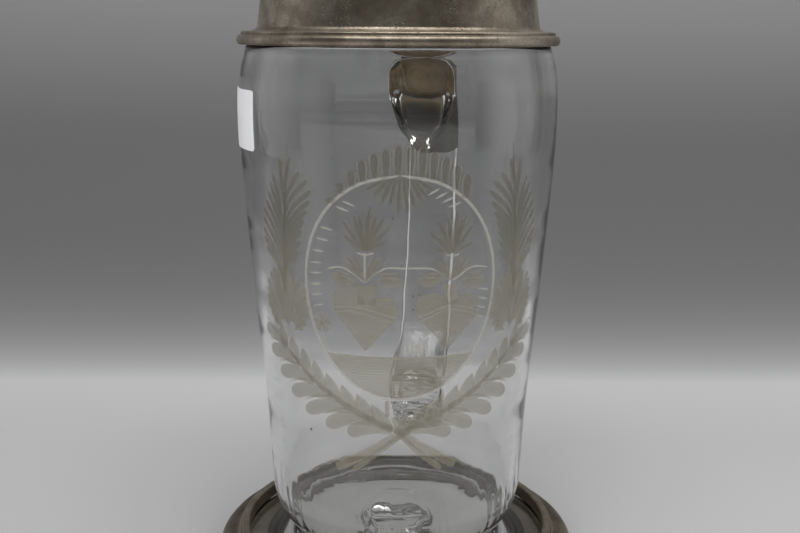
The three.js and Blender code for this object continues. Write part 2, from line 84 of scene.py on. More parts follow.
class SmoothCurve:
    """A centripetal Catmull-Rom curve through flat points, sampled closely and read by its length."""

    def __init__(self, points: Sequence[Point], samples: int = 80) -> None:
        """Samples the curve.

        Args:
            points: The points that the curve passes through.
            samples: How many steps each stretch between two points gets.
        """
        knots = np.array(points, float)
        knots = np.vstack([2 * knots[0] - knots[1], knots, 2 * knots[-1] - knots[-2]])
        steps = np.linspace(0, 1, samples, endpoint=False)[:, None]
        stretches = [self._stretch(knots[i : i + 4], steps) for i in range(len(knots) - 3)]
        self.line = np.vstack([*stretches, knots[-2]])
        sides = np.linalg.norm(np.diff(self.line, axis=0), axis=1)
        self.lengths = np.concatenate([[0], np.cumsum(sides)])

    @staticmethod
    def _stretch(four: np.ndarray, steps: np.ndarray) -> np.ndarray:
        """Returns the samples between the middle two of four knots."""
        spans = np.sqrt(np.maximum(np.linalg.norm(np.diff(four, axis=0), axis=1), 1e-6))
        before, across, after = spans
        turns = np.diff(four, axis=0) / spans[:, None]
        start = (turns[0] - (four[2] - four[0]) / (before + across) + turns[1]) * across
        end = (turns[1] - (four[3] - four[1]) / (across + after) + turns[2]) * across
        square = -3 * four[1] + 3 * four[2] - 2 * start - end
        cube = 2 * four[1] - 2 * four[2] + start + end
        return four[1] + start * steps + square * steps**2 + cube * steps**3

    @property
    def length(self) -> float:
        """The curve's whole length."""
        return float(self.lengths[-1])

    def at(self, shares: np.ndarray) -> np.ndarray:
        """Returns the points at shares of the length."""
        places = np.asarray(shares) * self.length
        columns = [np.interp(places, self.lengths, self.line[:, k]) for k in (0, 1)]
        return np.stack(columns, axis=-1)

    def tangent(self, shares: np.ndarray) -> np.ndarray:
        """Returns the unit directions at shares of the length."""
        shares = np.asarray(shares)
        along = self.at(np.minimum(shares + 0.002, 1)) - self.at(np.maximum(shares - 0.002, 0))
        return along / np.linalg.norm(along, axis=-1, keepdims=True)

    def spaced(self, steps: int) -> np.ndarray:
        """Returns points at equal lengths, both ends included."""
        return self.at(np.linspace(0, 1, steps + 1))


def arc(centre: Point, half: Point, start: float, end: float, steps: int) -> np.ndarray:
    """Returns points along an ellipse.

    Args:
        centre: Its centre.
        half: Its two half axes.
        start: The first angle, in degrees.
        end: The last angle, in degrees.
        steps: The number of steps between them.

    Returns:
        An array of points, both ends included.
    """
    angles = np.radians(np.linspace(start, end, steps + 1))
    return np.stack([centre[0] + half[0] * np.cos(angles), centre[1] + half[1] * np.sin(angles)], axis=-1)


def smoothstep(value: np.ndarray, low: float, high: float) -> np.ndarray:
    """Returns a soft step from 0 at low to 1 at high."""
    share = np.clip((np.asarray(value, float) - low) / (high - low), 0, 1)
    return share * share * (3 - 2 * share)


def eased(outline: Sequence[Point], radius: float, steps: int = 3) -> np.ndarray:
    """Rounds the corners of a turned outline, apart from its two ends.

    Args:
        outline: Points of (radius, height).
        radius: How far from a corner the rounding starts, where the sides have that room.
        steps: The steps of each rounding.

    Returns:
        The rounded outline.
    """
    points = np.array(outline, float)
    result = [points[0]]
    for before, corner, after in zip(points[:-2], points[1:-1], points[2:]):
        back, forth = before - corner, after - corner
        room_back, room_forth = np.linalg.norm(back), np.linalg.norm(forth)
        start = corner + back * min(0.45, radius / max(room_back, 1e-6))
        end = corner + forth * min(0.45, radius / max(room_forth, 1e-6))
        for t in np.linspace(0, 1, steps + 1):
            result.append((1 - t) ** 2 * start + 2 * t * (1 - t) * corner + t * t * end)
    result.append(points[-1])
    return np.array(result)


@dataclass
class Shape:
    """A mesh in the making.

    Args:
        points: An array of places in millimetres, with the vessel's axis at X = 0, Y = 0.
        faces: Lists of point numbers.
        traits: Values from 0 to 1 of each point that its finish reads, by name.
    """

    points: np.ndarray
    faces: list
    traits: dict[str, np.ndarray] = field(default_factory=dict)

    def plus(self, other: "Shape") -> "Shape":
        """Returns this shape with another beside it, and with the traits that both have."""
        shift = len(self.points)
        moved = [[index + shift for index in face] for face in other.faces]
        traits = {name: np.append(values, other.traits[name]) for name, values in self.traits.items()}
        return Shape(np.vstack([self.points, other.points]), self.faces + moved, traits)

    def made(self, name: str, smooth_angle: float = 40, on_axis: bool = True) -> bpy.types.Object:
        """Makes the Blender object.

        Args:
            name: Its name.
            smooth_angle: Edges sharper than this many degrees stay crisp.
            on_axis: Whether the points are measured from the vessel's axis.

        Returns:
            The object, at the origin, with its faces pointing out.
        """
        places = self.points + (np.array([0, AXIS_Y, 0]) if on_axis else 0)
        mesh = bpy.data.meshes.new(name)
        mesh.from_pydata((places * MM).tolist(), [], self.faces)
        for trait, values in self.traits.items():
            mesh.attributes.new(trait, "FLOAT", "POINT").data.foreach_set("value", values)
        face_outwards(mesh)
        soften_shading(mesh, smooth_angle)
        made = bpy.data.objects.new(name, mesh)
        bpy.context.scene.collection.objects.link(made)
        return made


def face_outwards(mesh: bpy.types.Mesh) -> None:
    """Turns every face of a closed mesh to the outside."""
    work = bmesh.new()
    work.from_mesh(mesh)
    bmesh.ops.recalc_face_normals(work, faces=work.faces)
    work.to_mesh(mesh)
    work.free()


def soften_shading(mesh: bpy.types.Mesh, angle: float) -> None:
    """Shades a mesh smooth, apart from edges sharper than an angle in degrees."""
    mesh.polygons.foreach_set("use_smooth", [True] * len(mesh.polygons))
    mesh.set_sharp_from_angle(angle=math.radians(angle))


def turned(outline: np.ndarray, segments: int, grime: Union[np.ndarray, None] = None) -> Shape:
    """Turns an outline about the vessel's axis.

    Args:
        outline: Points of (radius, height). It closes on itself, or starts and ends on the axis.
        segments: The number of facets round.
        grime: How dark each point of the outline is made, partly for dirt and partly as painted shade, or
            None.

    Returns:
        The closed shape.
    """
    outline = np.asarray(outline, float)
    on_axis = outline[0, 0] < 1e-6
    rings = outline[1:-1] if on_axis else outline
    angles = np.linspace(0, 2 * np.pi, segments, endpoint=False)
    round_x = np.outer(rings[:, 0], np.sin(angles))
    round_y = -np.outer(rings[:, 0], np.cos(angles))
    heights = np.repeat(rings[:, 1], segments).reshape(len(rings), segments)
    points = np.stack([round_x, round_y, heights], axis=-1).reshape(-1, 3)
    next_one = np.roll(np.arange(segments), -1)
    faces = []
    for row in range(len(rings) if not on_axis else len(rings) - 1):
        low, high = row * segments, (row + 1) % len(rings) * segments
        faces += [[low + i, low + next_one[i], high + next_one[i], high + i] for i in range(segments)]
    dirt_and_shade = None if grime is None else np.repeat(grime[1:-1] if on_axis else grime, segments)
    if on_axis:
        poles = np.array([[0, 0, outline[0, 1]], [0, 0, outline[-1, 1]]])
        first, last = len(points), len(points) + 1
        top = (len(rings) - 1) * segments
        faces += [[first, next_one[i], i] for i in range(segments)]
        faces += [[last, top + i, top + next_one[i]] for i in range(segments)]
        points = np.vstack([points, poles])
        dirt_and_shade = None if dirt_and_shade is None else np.append(dirt_and_shade, [grime[0], grime[-1]])
    return Shape(points, faces, {} if dirt_and_shade is None else {"grime": dirt_and_shade})


def lofted(loops: np.ndarray) -> Shape:
    """Joins equal closed loops of points into a closed shape with flat ends.

    Args:
        loops: An array of loops, points and coordinates.

    Returns:
        The closed shape.
    """
    count, size = loops.shape[:2]
    faces = []
    for row in range(count - 1):
        for i in range(size):
            j = (i + 1) % size
            faces.append([row * size + i, row * size + j, (row + 1) * size + j, (row + 1) * size + i])
    faces.append(list(range(size))[::-1])
    faces.append([(count - 1) * size + i for i in range(size)])
    return Shape(loops.reshape(-1, 3), faces)


def ridden(piece: bpy.types.Object, body: str, slot: str, *nodes: str) -> bpy.types.Object:
    """Lets a finished piece ride on its body and stand for its CAD nodes.

    Args:
        piece: The piece.
        body: The body that it moves with.
        slot: Not used.
        nodes: The CAD nodes that it replaces.

    Returns:
        The piece.
    """
    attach(piece, body)
    if nodes:
        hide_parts(*nodes)
    faces = len(piece.data.polygons)
    LOG.info("%s: %d faces, on %s", piece.name, faces, body)
    return piece


def merged_copy(node: str, name: str, smooth_angle: float, edge_round: float = 0) -> bpy.types.Object:
    """Copies a CAD node into one connected mesh with clean flat faces.

    Args:
        node: The CAD node.
        name: The copy's name.
        smooth_angle: Edges sharper than this many degrees stay crisp.
        edge_round: The width of the rounding on sharp edges, in millimetres.

    Returns:
        The copy.
    """
    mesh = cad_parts[node].data.copy()
    mesh.materials.clear()
    work = bmesh.new()
    work.from_mesh(mesh)
    bmesh.ops.remove_doubles(work, verts=work.verts, dist=0.01 * MM)
    bmesh.ops.dissolve_limit(work, angle_limit=math.radians(1), verts=work.verts, edges=work.edges)
    work.to_mesh(mesh)
    work.free()
    piece = bpy.data.objects.new(name, mesh)
    bpy.context.scene.collection.objects.link(piece)
    if edge_round:
        bevel = piece.modifiers.new("worn_edges", "BEVEL")
        bevel.width, bevel.segments = edge_round * MM, 2
        bevel.limit_method, bevel.angle_limit = "ANGLE", math.radians(35)
        apply_modifiers(piece)
    soften_shading(piece.data, smooth_angle)
    return piece


def apply_modifiers(piece: bpy.types.Object) -> None:
    """Makes the result of a piece's modifiers its plain mesh, and removes them."""
    graph = bpy.context.evaluated_depsgraph_get()
    result = bpy.data.meshes.new_from_object(piece.evaluated_get(graph))
    piece.modifiers.clear()
    piece.data = result


class Socket:
    """A shader socket with arithmetic, which adds the Math nodes that it needs."""

    def __init__(self, shader: "Shader", output: bpy.types.NodeSocket) -> None:
        """Wraps the output of a node of a shader."""
        self.shader = shader
        self.output = output

    def _maths(self, operation: str, *values: "Operand") -> "Socket":
        """Returns the result of a Math node on values or sockets."""
        node = self.shader.node("ShaderNodeMath", {"operation": operation}, dict(enumerate(values)))
        return Socket(self.shader, node.outputs[0])

    def __add__(self, other: "Operand") -> "Socket":
        """Returns the sum."""
        return self._maths("ADD", self, other)

    def __radd__(self, other: "Operand") -> "Socket":
        """Returns the sum, with the number first."""
        return self._maths("ADD", other, self)

    def __sub__(self, other: "Operand") -> "Socket":
        """Returns the difference."""
        return self._maths("SUBTRACT", self, other)

    def __rsub__(self, other: "Operand") -> "Socket":
        """Returns the difference, with the number first."""
        return self._maths("SUBTRACT", other, self)

    def __mul__(self, other: "Operand") -> "Socket":
        """Returns the product."""
        return self._maths("MULTIPLY", self, other)

    def __rmul__(self, other: "Operand") -> "Socket":
        """Returns the product, with the number first."""
        return self._maths("MULTIPLY", other, self)

    def rising(self, low: float, high: float) -> "Socket":
        """Returns 0 below low and 1 above high, with a soft step between them."""
        node = self.shader.node(
            "ShaderNodeMapRange",
            {"interpolation_type": "SMOOTHSTEP"},
            {"Value": self, "From Min": low, "From Max": high},
        )
        return Socket(self.shader, node.outputs[0])

    def fading(self, start: float, length: float) -> "Socket":
        """Returns 1 up to a start, and past it a share that falls to 0.37 of itself with each length."""
        beyond = self._maths("MAXIMUM", self - start, 0.0)
        return self._maths("EXPONENT", beyond * (-1 / length))


Operand = Union[Socket, float]


class Shader:
    """A material in the making."""

    def __init__(self, name: str) -> None:
        """Starts a material with a Principled shader."""
        self.material = bpy.data.materials.new(name)
        self.material.use_nodes = True
        self.tree = self.material.node_tree
        self.surface = self.tree.nodes["Principled BSDF"]
        self.output = self.tree.nodes["Material Output"]

    def node(self, kind: str, settings: dict, values: dict) -> bpy.types.Node:
        """Adds a node.

        Args:
            kind: Its type.
            settings: Its own settings, which are set first.
            values: Numbers, colours or sockets, by the name or place of the input.

        Returns:
            The node.
        """
        node = self.tree.nodes.new(kind)
        for setting, value in settings.items():
            setattr(node, setting, value)
        self.fill(node, values)
        return node

    def fill(self, node: bpy.types.Node, values: dict) -> None:
        """Sets or links the inputs of a node, by name or place."""
        for key, value in values.items():
            if isinstance(value, Socket):
                self.tree.links.new(value.output, node.inputs[key])
            else:
                node.inputs[key].default_value = value

    def place(self, stretch: Sequence[float] = (1, 1, 1)) -> Socket:
        """Returns the place on the piece in metres, stretched along the axes."""
        coordinates = self.node("ShaderNodeTexCoord", {}, {})
        mapping = self.node("ShaderNodeMapping", {}, {"Vector": Socket(self, coordinates.outputs["Object"])})
        mapping.inputs["Scale"].default_value = stretch
        return Socket(self, mapping.outputs[0])

    def height(self, where: Socket) -> Socket:
        """Returns the height of a place over the table, in metres."""
        return Socket(self, self.node("ShaderNodeSeparateXYZ", {}, {"Vector": where}).outputs["Z"])

    def noise(self, where: Socket, scale: float, detail: float = 3, rough: float = 0.5) -> Socket:
        """Returns a cloudy value from 0 to 1, with its scale in bumps per metre."""
        values = {"Vector": where, "Scale": scale, "Detail": detail, "Roughness": rough}
        return Socket(self, self.node("ShaderNodeTexNoise", {}, values).outputs[0])

    def cells(self, where: Socket, scale: float) -> Socket:
        """Returns the distance to the nearest of scattered points, as a share of their spacing."""
        values = {"Vector": where, "Scale": scale}
        return Socket(self, self.node("ShaderNodeTexVoronoi", {}, values).outputs["Distance"])

    def attribute(self, name: str) -> Socket:
        """Returns a value that is stored in the mesh."""
        return Socket(self, self.node("ShaderNodeAttribute", {"attribute_name": name}, {}).outputs["Fac"])

    def blended(self, share: Operand, first: Union[Colour, Socket], second: Union[Colour, Socket]) -> Socket:
        """Returns a colour between two others."""
        node = self.node("ShaderNodeMix", {"data_type": "RGBA"}, {0: share})
        for place, colour in ((6, first), (7, second)):
            value = colour if isinstance(colour, Socket) else (*colour, 1)
            self.fill(node, {place: value})
        return Socket(self, node.outputs[2])

    def bump(self, height: Socket, depth: float, strength: float = 1) -> Socket:
        """Returns a normal from a height, with the depth in millimetres."""
        values = {"Height": height, "Distance": depth * MM, "Strength": strength}
        return Socket(self, self.node("ShaderNodeBump", {}, values).outputs[0])


@dataclass(frozen=True)
class GlassFinish:
    """Clear blown glass with a faint grey tint, the fine threads of blowing, and a thin film of age."""

    name: str = "clear_glass"
    tint: Colour = (0.915, 0.918, 0.912)
    ior: float = 1.5
    thread_depth: float = 0.04
    thread_stretch: tuple[float, float, float] = (14, 14, 420)
    curtain_stretch: tuple[float, float, float] = (240, 240, 14)
    film_colour: Colour = (0.72, 0.72, 0.69)
    shadow_tint: Colour = (0.9, 0.9, 0.89)
    film_least: float = 0.0
    film_most: float = 0.004

    def material(self) -> bpy.types.Material:
        """Returns the material."""
        shader = Shader(self.name)
        threads = shader.noise(shader.place(self.thread_stretch), 1, 1)
        curtains = shader.noise(shader.place(self.curtain_stretch), 1, 2)
        normal = shader.bump(threads, self.thread_depth, 0.5)
        values = {"Base Color": (*self.tint, 1), "Roughness": 0.0, "IOR": self.ior}
        shader.fill(shader.surface, {**values, "Transmission Weight": 1.0, "Normal": normal})
        film = shader.node("ShaderNodeBsdfDiffuse", {}, {"Color": (*self.film_colour, 1)})
        haze = 0.55 * curtains.rising(0.42, 0.72) + 0.45 * threads.rising(0.5, 0.75)
        amount = self.film_least + (self.film_most - self.film_least) * haze
        mixed = shader.node("ShaderNodeMixShader", {}, {0: amount})
        shader.tree.links.new(shader.surface.outputs[0], mixed.inputs[1])
        shader.tree.links.new(film.outputs[0], mixed.inputs[2])
        path = shader.node("ShaderNodeLightPath", {}, {})
        lets_light = shader.node("ShaderNodeBsdfTransparent", {}, {"Color": (*self.shadow_tint, 1)})
        whole = shader.node("ShaderNodeMixShader", {}, {0: Socket(shader, path.outputs["Is Shadow Ray"])})
        shader.tree.links.new(mixed.outputs[0], whole.inputs[1])
        shader.tree.links.new(lets_light.outputs[0], whole.inputs[2])
        shader.tree.links.new(whole.outputs[0], shader.output.inputs[0])
        return shader.material


@dataclass(frozen=True)
class PewterFinish:
    """Old cast pewter: dull grey brown, speckled with small pits, darker in its grooves, hollows and
    undersides, partly with dirt and partly with painted shade.
    """

    name: str = "old_pewter"
    bright: Colour = (0.50, 0.44, 0.36)
    dull: Colour = (0.235, 0.198, 0.15)
    # The dark colour of the pits, of the dirt in the grooves and of the painted shade in hollows and
    # undersides.
    dirt_and_shade: Colour = (0.07, 0.052, 0.03)
    roughness: float = 0.26
    pit_spacing: float = 620
    speck_spacing: float = 1500

    def material(self) -> bpy.types.Material:
        """Returns the material."""
        shader = Shader(self.name)
        where = shader.place()
        clouds = shader.noise(where, 60, 5, 0.65)
        grain = shader.noise(where, 1300, 3, 0.6)
        patches = shader.noise(where, 110, 3)
        pits = (1 - shader.cells(where, self.pit_spacing).rising(0.1, 0.24)) * patches.rising(0.44, 0.6)
        specks = (1 - shader.cells(where, self.speck_spacing).rising(0.12, 0.3)) * patches.rising(0.36, 0.56)
        pitted = pits + 0.6 * specks - 0.6 * pits * specks
        # This stored value darkens grooves, hollows, undersides and the foot of the ring: partly dirt, partly
        # painted shade.
        grime = shader.attribute("grime")
        worn = shader.blended(clouds.rising(0.36, 0.64), self.bright, self.dull)
        flecked = shader.blended(grain.rising(0.42, 0.7) * 0.45, worn, self.dull)
        dirty_and_shaded = shader.blended(grime * (0.5 + 0.5 * grain), flecked, self.dirt_and_shade)
        colour = shader.blended(pitted * 0.85, dirty_and_shaded, self.dirt_and_shade)
        rough = self.roughness + 0.14 * clouds + 0.14 * grain + 0.25 * pitted + 0.15 * grime
        relief = 0.35 * grain + 0.5 * clouds - 1.2 * pitted
        values = {"Base Color": colour, "Roughness": rough, "Metallic": 1.0}
        shader.fill(shader.surface, {**values, "Normal": shader.bump(relief, 0.12, 0.6)})
        return shader.material


@dataclass(frozen=True)
class FrostFinish:
    """Glass ground matt by an engraving wheel, which lets part of what is behind it through, with a painted
    highlight on the raised edges of its cuts and on its fine lines.

    It is painted darker in the upper part of the design, as painted shade for the lesser light that reaches it
    there.
    """

    name: str = "wheel_ground_glass"
    pale: Colour = (0.25, 0.228, 0.175)
    deep: Colour = (0.175, 0.157, 0.112)
    cover: float = 0.36
    # The paler colour and the greater cover of the painted highlight that the gleam value marks.
    line: Colour = (0.38, 0.37, 0.33)
    gleam_cover: float = 0.42
    # How dark the painted shade of the upper part is, as a share of the deep colour; the heights after it say
    # where that shade starts and is full.
    worn: float = 0.5
    shade_from: float = 108.0
    shade_to: float = 132.0
    shade_cover: float = 0.9

    def material(self) -> bpy.types.Material:
        """Returns the material."""
        shader = Shader(self.name)
        where = shader.place()
        strokes = shader.noise(shader.place((1, 1, 2.2)), 900, 3)
        gleam = shader.attribute("gleam")
        matt = shader.blended(strokes.rising(0.3, 0.7), self.deep, self.pale)
        # Painted shade: the upper part of the design is blended towards a darker copy of the deep colour.
        upper = shader.height(where).rising(self.shade_from * MM, self.shade_to * MM)
        shaded_deep = tuple(part * self.worn for part in self.deep)
        # The gleam value blends in the painted highlight colour and raises the cover.
        colour = shader.blended(gleam, shader.blended(upper * self.shade_cover, matt, shaded_deep), self.line)
        cover = self.cover + (self.gleam_cover - self.cover) * gleam
        normal = shader.bump(shader.noise(where, 2600, 2), 0.03, 0.5)
        values = {"Base Color": colour, "Roughness": 0.62, "Alpha": cover, "Normal": normal}
        shader.fill(shader.surface, values)
        return shader.material


@dataclass(frozen=True)
class PaperFinish:
    """Plain white paper, a little grey with handling."""

    name: str = "label_paper"
    white: Colour = (0.80, 0.80, 0.82)
    handled: Colour = (0.66, 0.65, 0.64)

    def material(self) -> bpy.types.Material:
        """Returns the material."""
        shader = Shader(self.name)
        where = shader.place()
        fibres = shader.noise(where, 2200, 4, 0.7)
        stains = shader.noise(where, 90, 2).rising(0.5, 0.85)
        colour = shader.blended(stains * 0.6 + fibres * 0.15, self.white, self.handled)
        values = {"Base Color": colour, "Roughness": 0.85, "Normal": shader.bump(fibres, 0.03, 0.6)}
        shader.fill(shader.surface, values)
        return shader.material


@dataclass(frozen=True)
class CementFinish:
    """Old brown bedding cement, with painted shade that makes it nearly black towards the strap's open end."""

    name: str = "old_cement"
    pale: Colour = (0.42, 0.29, 0.13)
    brown: Colour = (0.27, 0.185, 0.08)
    shade_black: Colour = (0.03, 0.026, 0.018)
    shade_below: float = 163.0
    brown_above: float = 169.0
    unevenness: float = 6.0

    def material(self) -> bpy.types.Material:
        """Returns the material."""
        shader = Shader(self.name)
        where = shader.place()
        clouds = shader.noise(where, 160, 4, 0.6)
        upper = shader.blended(clouds.rising(0.35, 0.65), self.pale, self.brown)
        up = shader.height(where) + self.unevenness * MM * clouds
        # Painted shade: the lower part of the cement, towards the strap's open end, is blended towards near
        # black.
        colour = shader.blended(up.rising(self.shade_below * MM, self.brown_above * MM), self.shade_black, upper)
        shader.fill(shader.surface, {"Base Color": colour, "Roughness": 0.8})
        return shader.material


@dataclass(frozen=True)
class SteelFinish:
    """Dark worn iron wire of the hinge pin."""

    name: str = "pin_steel"
    bare: Colour = (0.24, 0.225, 0.205)
    rusty: Colour = (0.10, 0.07, 0.05)

    def material(self) -> bpy.types.Material:
        """Returns the material."""
        shader = Shader(self.name)
        where = shader.place()
        rust = shader.noise(where, 700, 4, 0.65).rising(0.5, 0.7)
        colour = shader.blended(rust, self.bare, self.rusty)
        values = {"Base Color": colour, "Metallic": 1.0, "Roughness": 0.34 + 0.4 * rust}
        shader.fill(shader.surface, {**values, "Normal": shader.bump(rust, 0.05, 0.5)})
        return shader.material


def dressed(piece: bpy.types.Object, material: bpy.types.Material) -> bpy.types.Object:
    """Gives a piece its only material, and returns the piece."""
    piece.data.materials.clear()
    piece.data.materials.append(material)
    return piece


@dataclass
class Vessel:
    """The blown body and its fused foot: outer radii and heights, walls and floor."""

    body_height: float = 182.8
    mouth_radius: float = 50.6
    neck: Point = (52.3, 174.4)
    shoulder: Point = (53.0, 157.0)
    middle: Point = (49.5, 104.0)
    lower: Point = (45.7, 60.0)
    heel: Point = (44.5, 35.0)
    base_radius: float = 31.0
    base_height: float = 14.5
    mouth_wall: float = 2.4
    heel_wall: float = 3.6
    floor_thickness: float = 5.0
    floor_radius: float = 35.0
    corner_height: float = 9.0
    kick_radius: float = 13.0
    kick_rise: float = 3.0
    foot_radius: float = 54.4
    foot_rim_height: float = 4.2
    foot_rim_thickness: float = 6.0
    foot_neck_radius: float = 35.5
    foot_neck_flare: float = 8.0
    foot_hollow: float = 4.0
    rod_mark_radius: float = 10.0
    segments: int = 288
    outer_rows: int = 60
    inner_rows: int = 84
    seed: int = 7
    wall: SmoothCurve = field(init=False)

    def __post_init__(self) -> None:
        """Draws the outer wall from the heel to the mouth."""
        mouth = (self.mouth_radius, self.body_height - self.mouth_wall / 2)
        self.wall = SmoothCurve([self.heel, self.lower, self.middle, self.shoulder, self.neck, mouth])

    def radius(self, height: np.ndarray) -> np.ndarray:
        """Returns the outer radius of the body at a height."""
        height = np.asarray(height, float)
        drop = np.clip((self.heel[1] - height) / (self.heel[1] - self.base_height), 0, 1)
        corner = self.base_radius + (self.heel[0] - self.base_radius) * np.sqrt(1 - drop**2)
        above = np.interp(height, self.wall.line[:, 1], self.wall.line[:, 0])
        return np.where(height < self.heel[1], corner, above)

    def thickness(self, height: np.ndarray) -> np.ndarray:
        """Returns the thickness of the wall at a height."""
        share = smoothstep(height, self.heel[1], self.body_height)
        return self.heel_wall + (self.mouth_wall - self.heel_wall) * share

    def outside(self) -> np.ndarray:
        """Returns the outline from the middle of the foot's underside to the mouth."""
        top = self.foot_rim_height + self.foot_rim_thickness
        rim = self.foot_rim_height
        hollow, mark = rim + self.foot_hollow, self.rod_mark_radius
        underside = eased(
            [
                (0, hollow - 0.9),
                (mark * 0.3, hollow - 0.4),
                (mark * 0.6, hollow - 0.1),
                (mark * 0.85, hollow),
                (mark, hollow + 0.1),
                (mark + 0.5, hollow - 1.6),
                (mark + 1.5, hollow - 2),
                (mark + 2.6, hollow - 0.7),
                (mark + 4.5, hollow - 0.1),
                (mark + 8, hollow),
                (self.foot_neck_radius + 3, hollow),
                (self.foot_radius - 9.5, rim + self.foot_hollow / 3),
                (self.foot_radius - 7.4, rim),
                (self.foot_radius - 1.2, rim),
            ],
            0.8,
        )
        edge = arc((self.foot_radius - 1.2, rim + 1.2), (1.2, 1.2), -80, 0, 4)
        upper_edge = arc((self.foot_radius - 1.2, top - 1.2), (1.2, 1.2), 0, 90, 5)
        flare = (self.foot_neck_radius + self.foot_neck_flare, self.base_height)
        shelf = np.linspace((self.foot_radius - 2.4, top), (flare[0] + 1, top), 5)
        neck = arc(flare, (self.foot_neck_flare, self.base_height - top), 268, 182, 12)
        join = self.base_height + 1.1
        heights = self.heel[1] - (self.heel[1] - join) * np.cos(np.radians(np.linspace(0, 90, 19)))
        corner = np.stack([self.radius(heights), heights], axis=-1)
        wall = self.wall.spaced(self.outer_rows)[1:]
        return np.vstack([underside, edge, upper_edge, shelf, neck, corner, wall])

    def inside(self) -> np.ndarray:
        """Returns the outline from the mouth down the inner wall to the middle of the floor."""
        floor = self.base_height + self.floor_thickness
        outer = self.wall.spaced(self.inner_rows)[::-1]
        wall = np.stack([outer[:, 0] - self.thickness(outer[:, 1]), outer[:, 1]], axis=-1)
        foot = floor + self.corner_height
        heights = np.linspace(self.heel[1], foot, 6)[1:]
        low = np.stack([self.radius(heights) - self.heel_wall, heights], axis=-1)
        reach = low[-1, 0] - self.floor_radius
        corner = arc((self.floor_radius, foot), (reach, self.corner_height), 0, -90, 16)
        flat = np.linspace((self.floor_radius - 2, floor), (self.kick_radius + 1, floor), 8)
        radii = np.linspace(self.kick_radius, 0, 12)
        rise = self.kick_rise * (0.5 + 0.5 * np.cos(np.pi * radii / self.kick_radius))
        return np.vstack([wall, low, corner[1:], flat, np.stack([radii, floor + rise], axis=-1)])

    def waved(self, shape: Shape) -> Shape:
        """Gives the inner wall the slow waves of hand-blown glass, and the rod mark its broken face."""
        x, y, z = shape.points.T
        angle, radius = np.arctan2(x, -y), np.hypot(x, y)
        draw = np.random.default_rng(self.seed)
        waves = np.zeros_like(angle)
        for turns in (2, 3, 5, 9, 14, 23):
            phase, lean = draw.uniform(0, 2 * np.pi), draw.uniform(-0.02, 0.02)
            waves += 0.16 / turns * np.sin(turns * angle + phase + lean * z)
        for pitch in (31, 17, 9.5, 5.2):
            phase, lean = draw.uniform(0, 2 * np.pi), draw.integers(1, 3)
            waves += 0.0022 * pitch * np.sin(2 * np.pi * z / pitch + phase + np.sin(lean * angle + phase))
        streaks = np.zeros_like(angle)
        for turns in (31, 43, 58, 71, 86):
            phase, slant = draw.uniform(0, 2 * np.pi), draw.uniform(0.1, 0.35)
            streaks += 0.03 * np.sin(turns * angle + phase + slant * z + 1.5 * np.sin(3 * angle + phase))
        floor = self.base_height + self.floor_thickness
        near_floor = 1 - smoothstep(z, floor + 9, floor + 26)
        inner = (radius < self.radius(z) - 1.2) & (z > floor - 0.1)
        push = np.where(inner, waves + streaks * near_floor, 0)
        near_wall = smoothstep(radius, self.floor_radius - 3, self.floor_radius + 3)
        grow = 1 + push * near_wall / np.maximum(radius, 1)
        under = (z < self.foot_rim_height + self.foot_hollow + 1) & (radius < self.rod_mark_radius)
        broken = np.zeros_like(z)
        for pitch in (9.0, 5.5, 4.0):
            lean = draw.uniform(0, np.pi)
            across = x * np.cos(lean) + y * np.sin(lean)
            broken += 0.035 * pitch * np.sin(2 * np.pi / pitch * across + 3 * lean)
        shape.points = np.stack([x * grow, y * grow, z + np.where(under, broken, 0)], axis=-1)
        return shape

    def shape(self) -> Shape:
        """Returns the closed glass of body and foot."""
        half = self.mouth_wall / 2
        rim = arc((self.mouth_radius - half, self.body_height - half), (half, half), 0, 180, 10)
        return self.waved(turned(np.vstack([self.outside(), rim[1:-1], self.inside()]), self.segments))

    def wrapped(self, design: np.ndarray, centre_angle: float, centre_height: float) -> np.ndarray:
        """Lays a flat design round the outside of the body.

        Args:
            design: Points of (across, up, off the glass) in millimetres.
            centre_angle: The angle that the design's middle faces, in degrees.
            centre_height: The height of the design's middle.

        Returns:
            The places, measured from the vessel's axis.
        """
        across, up, off = design.T
        angle = math.radians(centre_angle) + across / self.middle[0]
        height = up + centre_height
        radius = self.radius(height) + off
        return np.stack([radius * np.sin(angle), -radius * np.cos(angle), height], axis=-1)


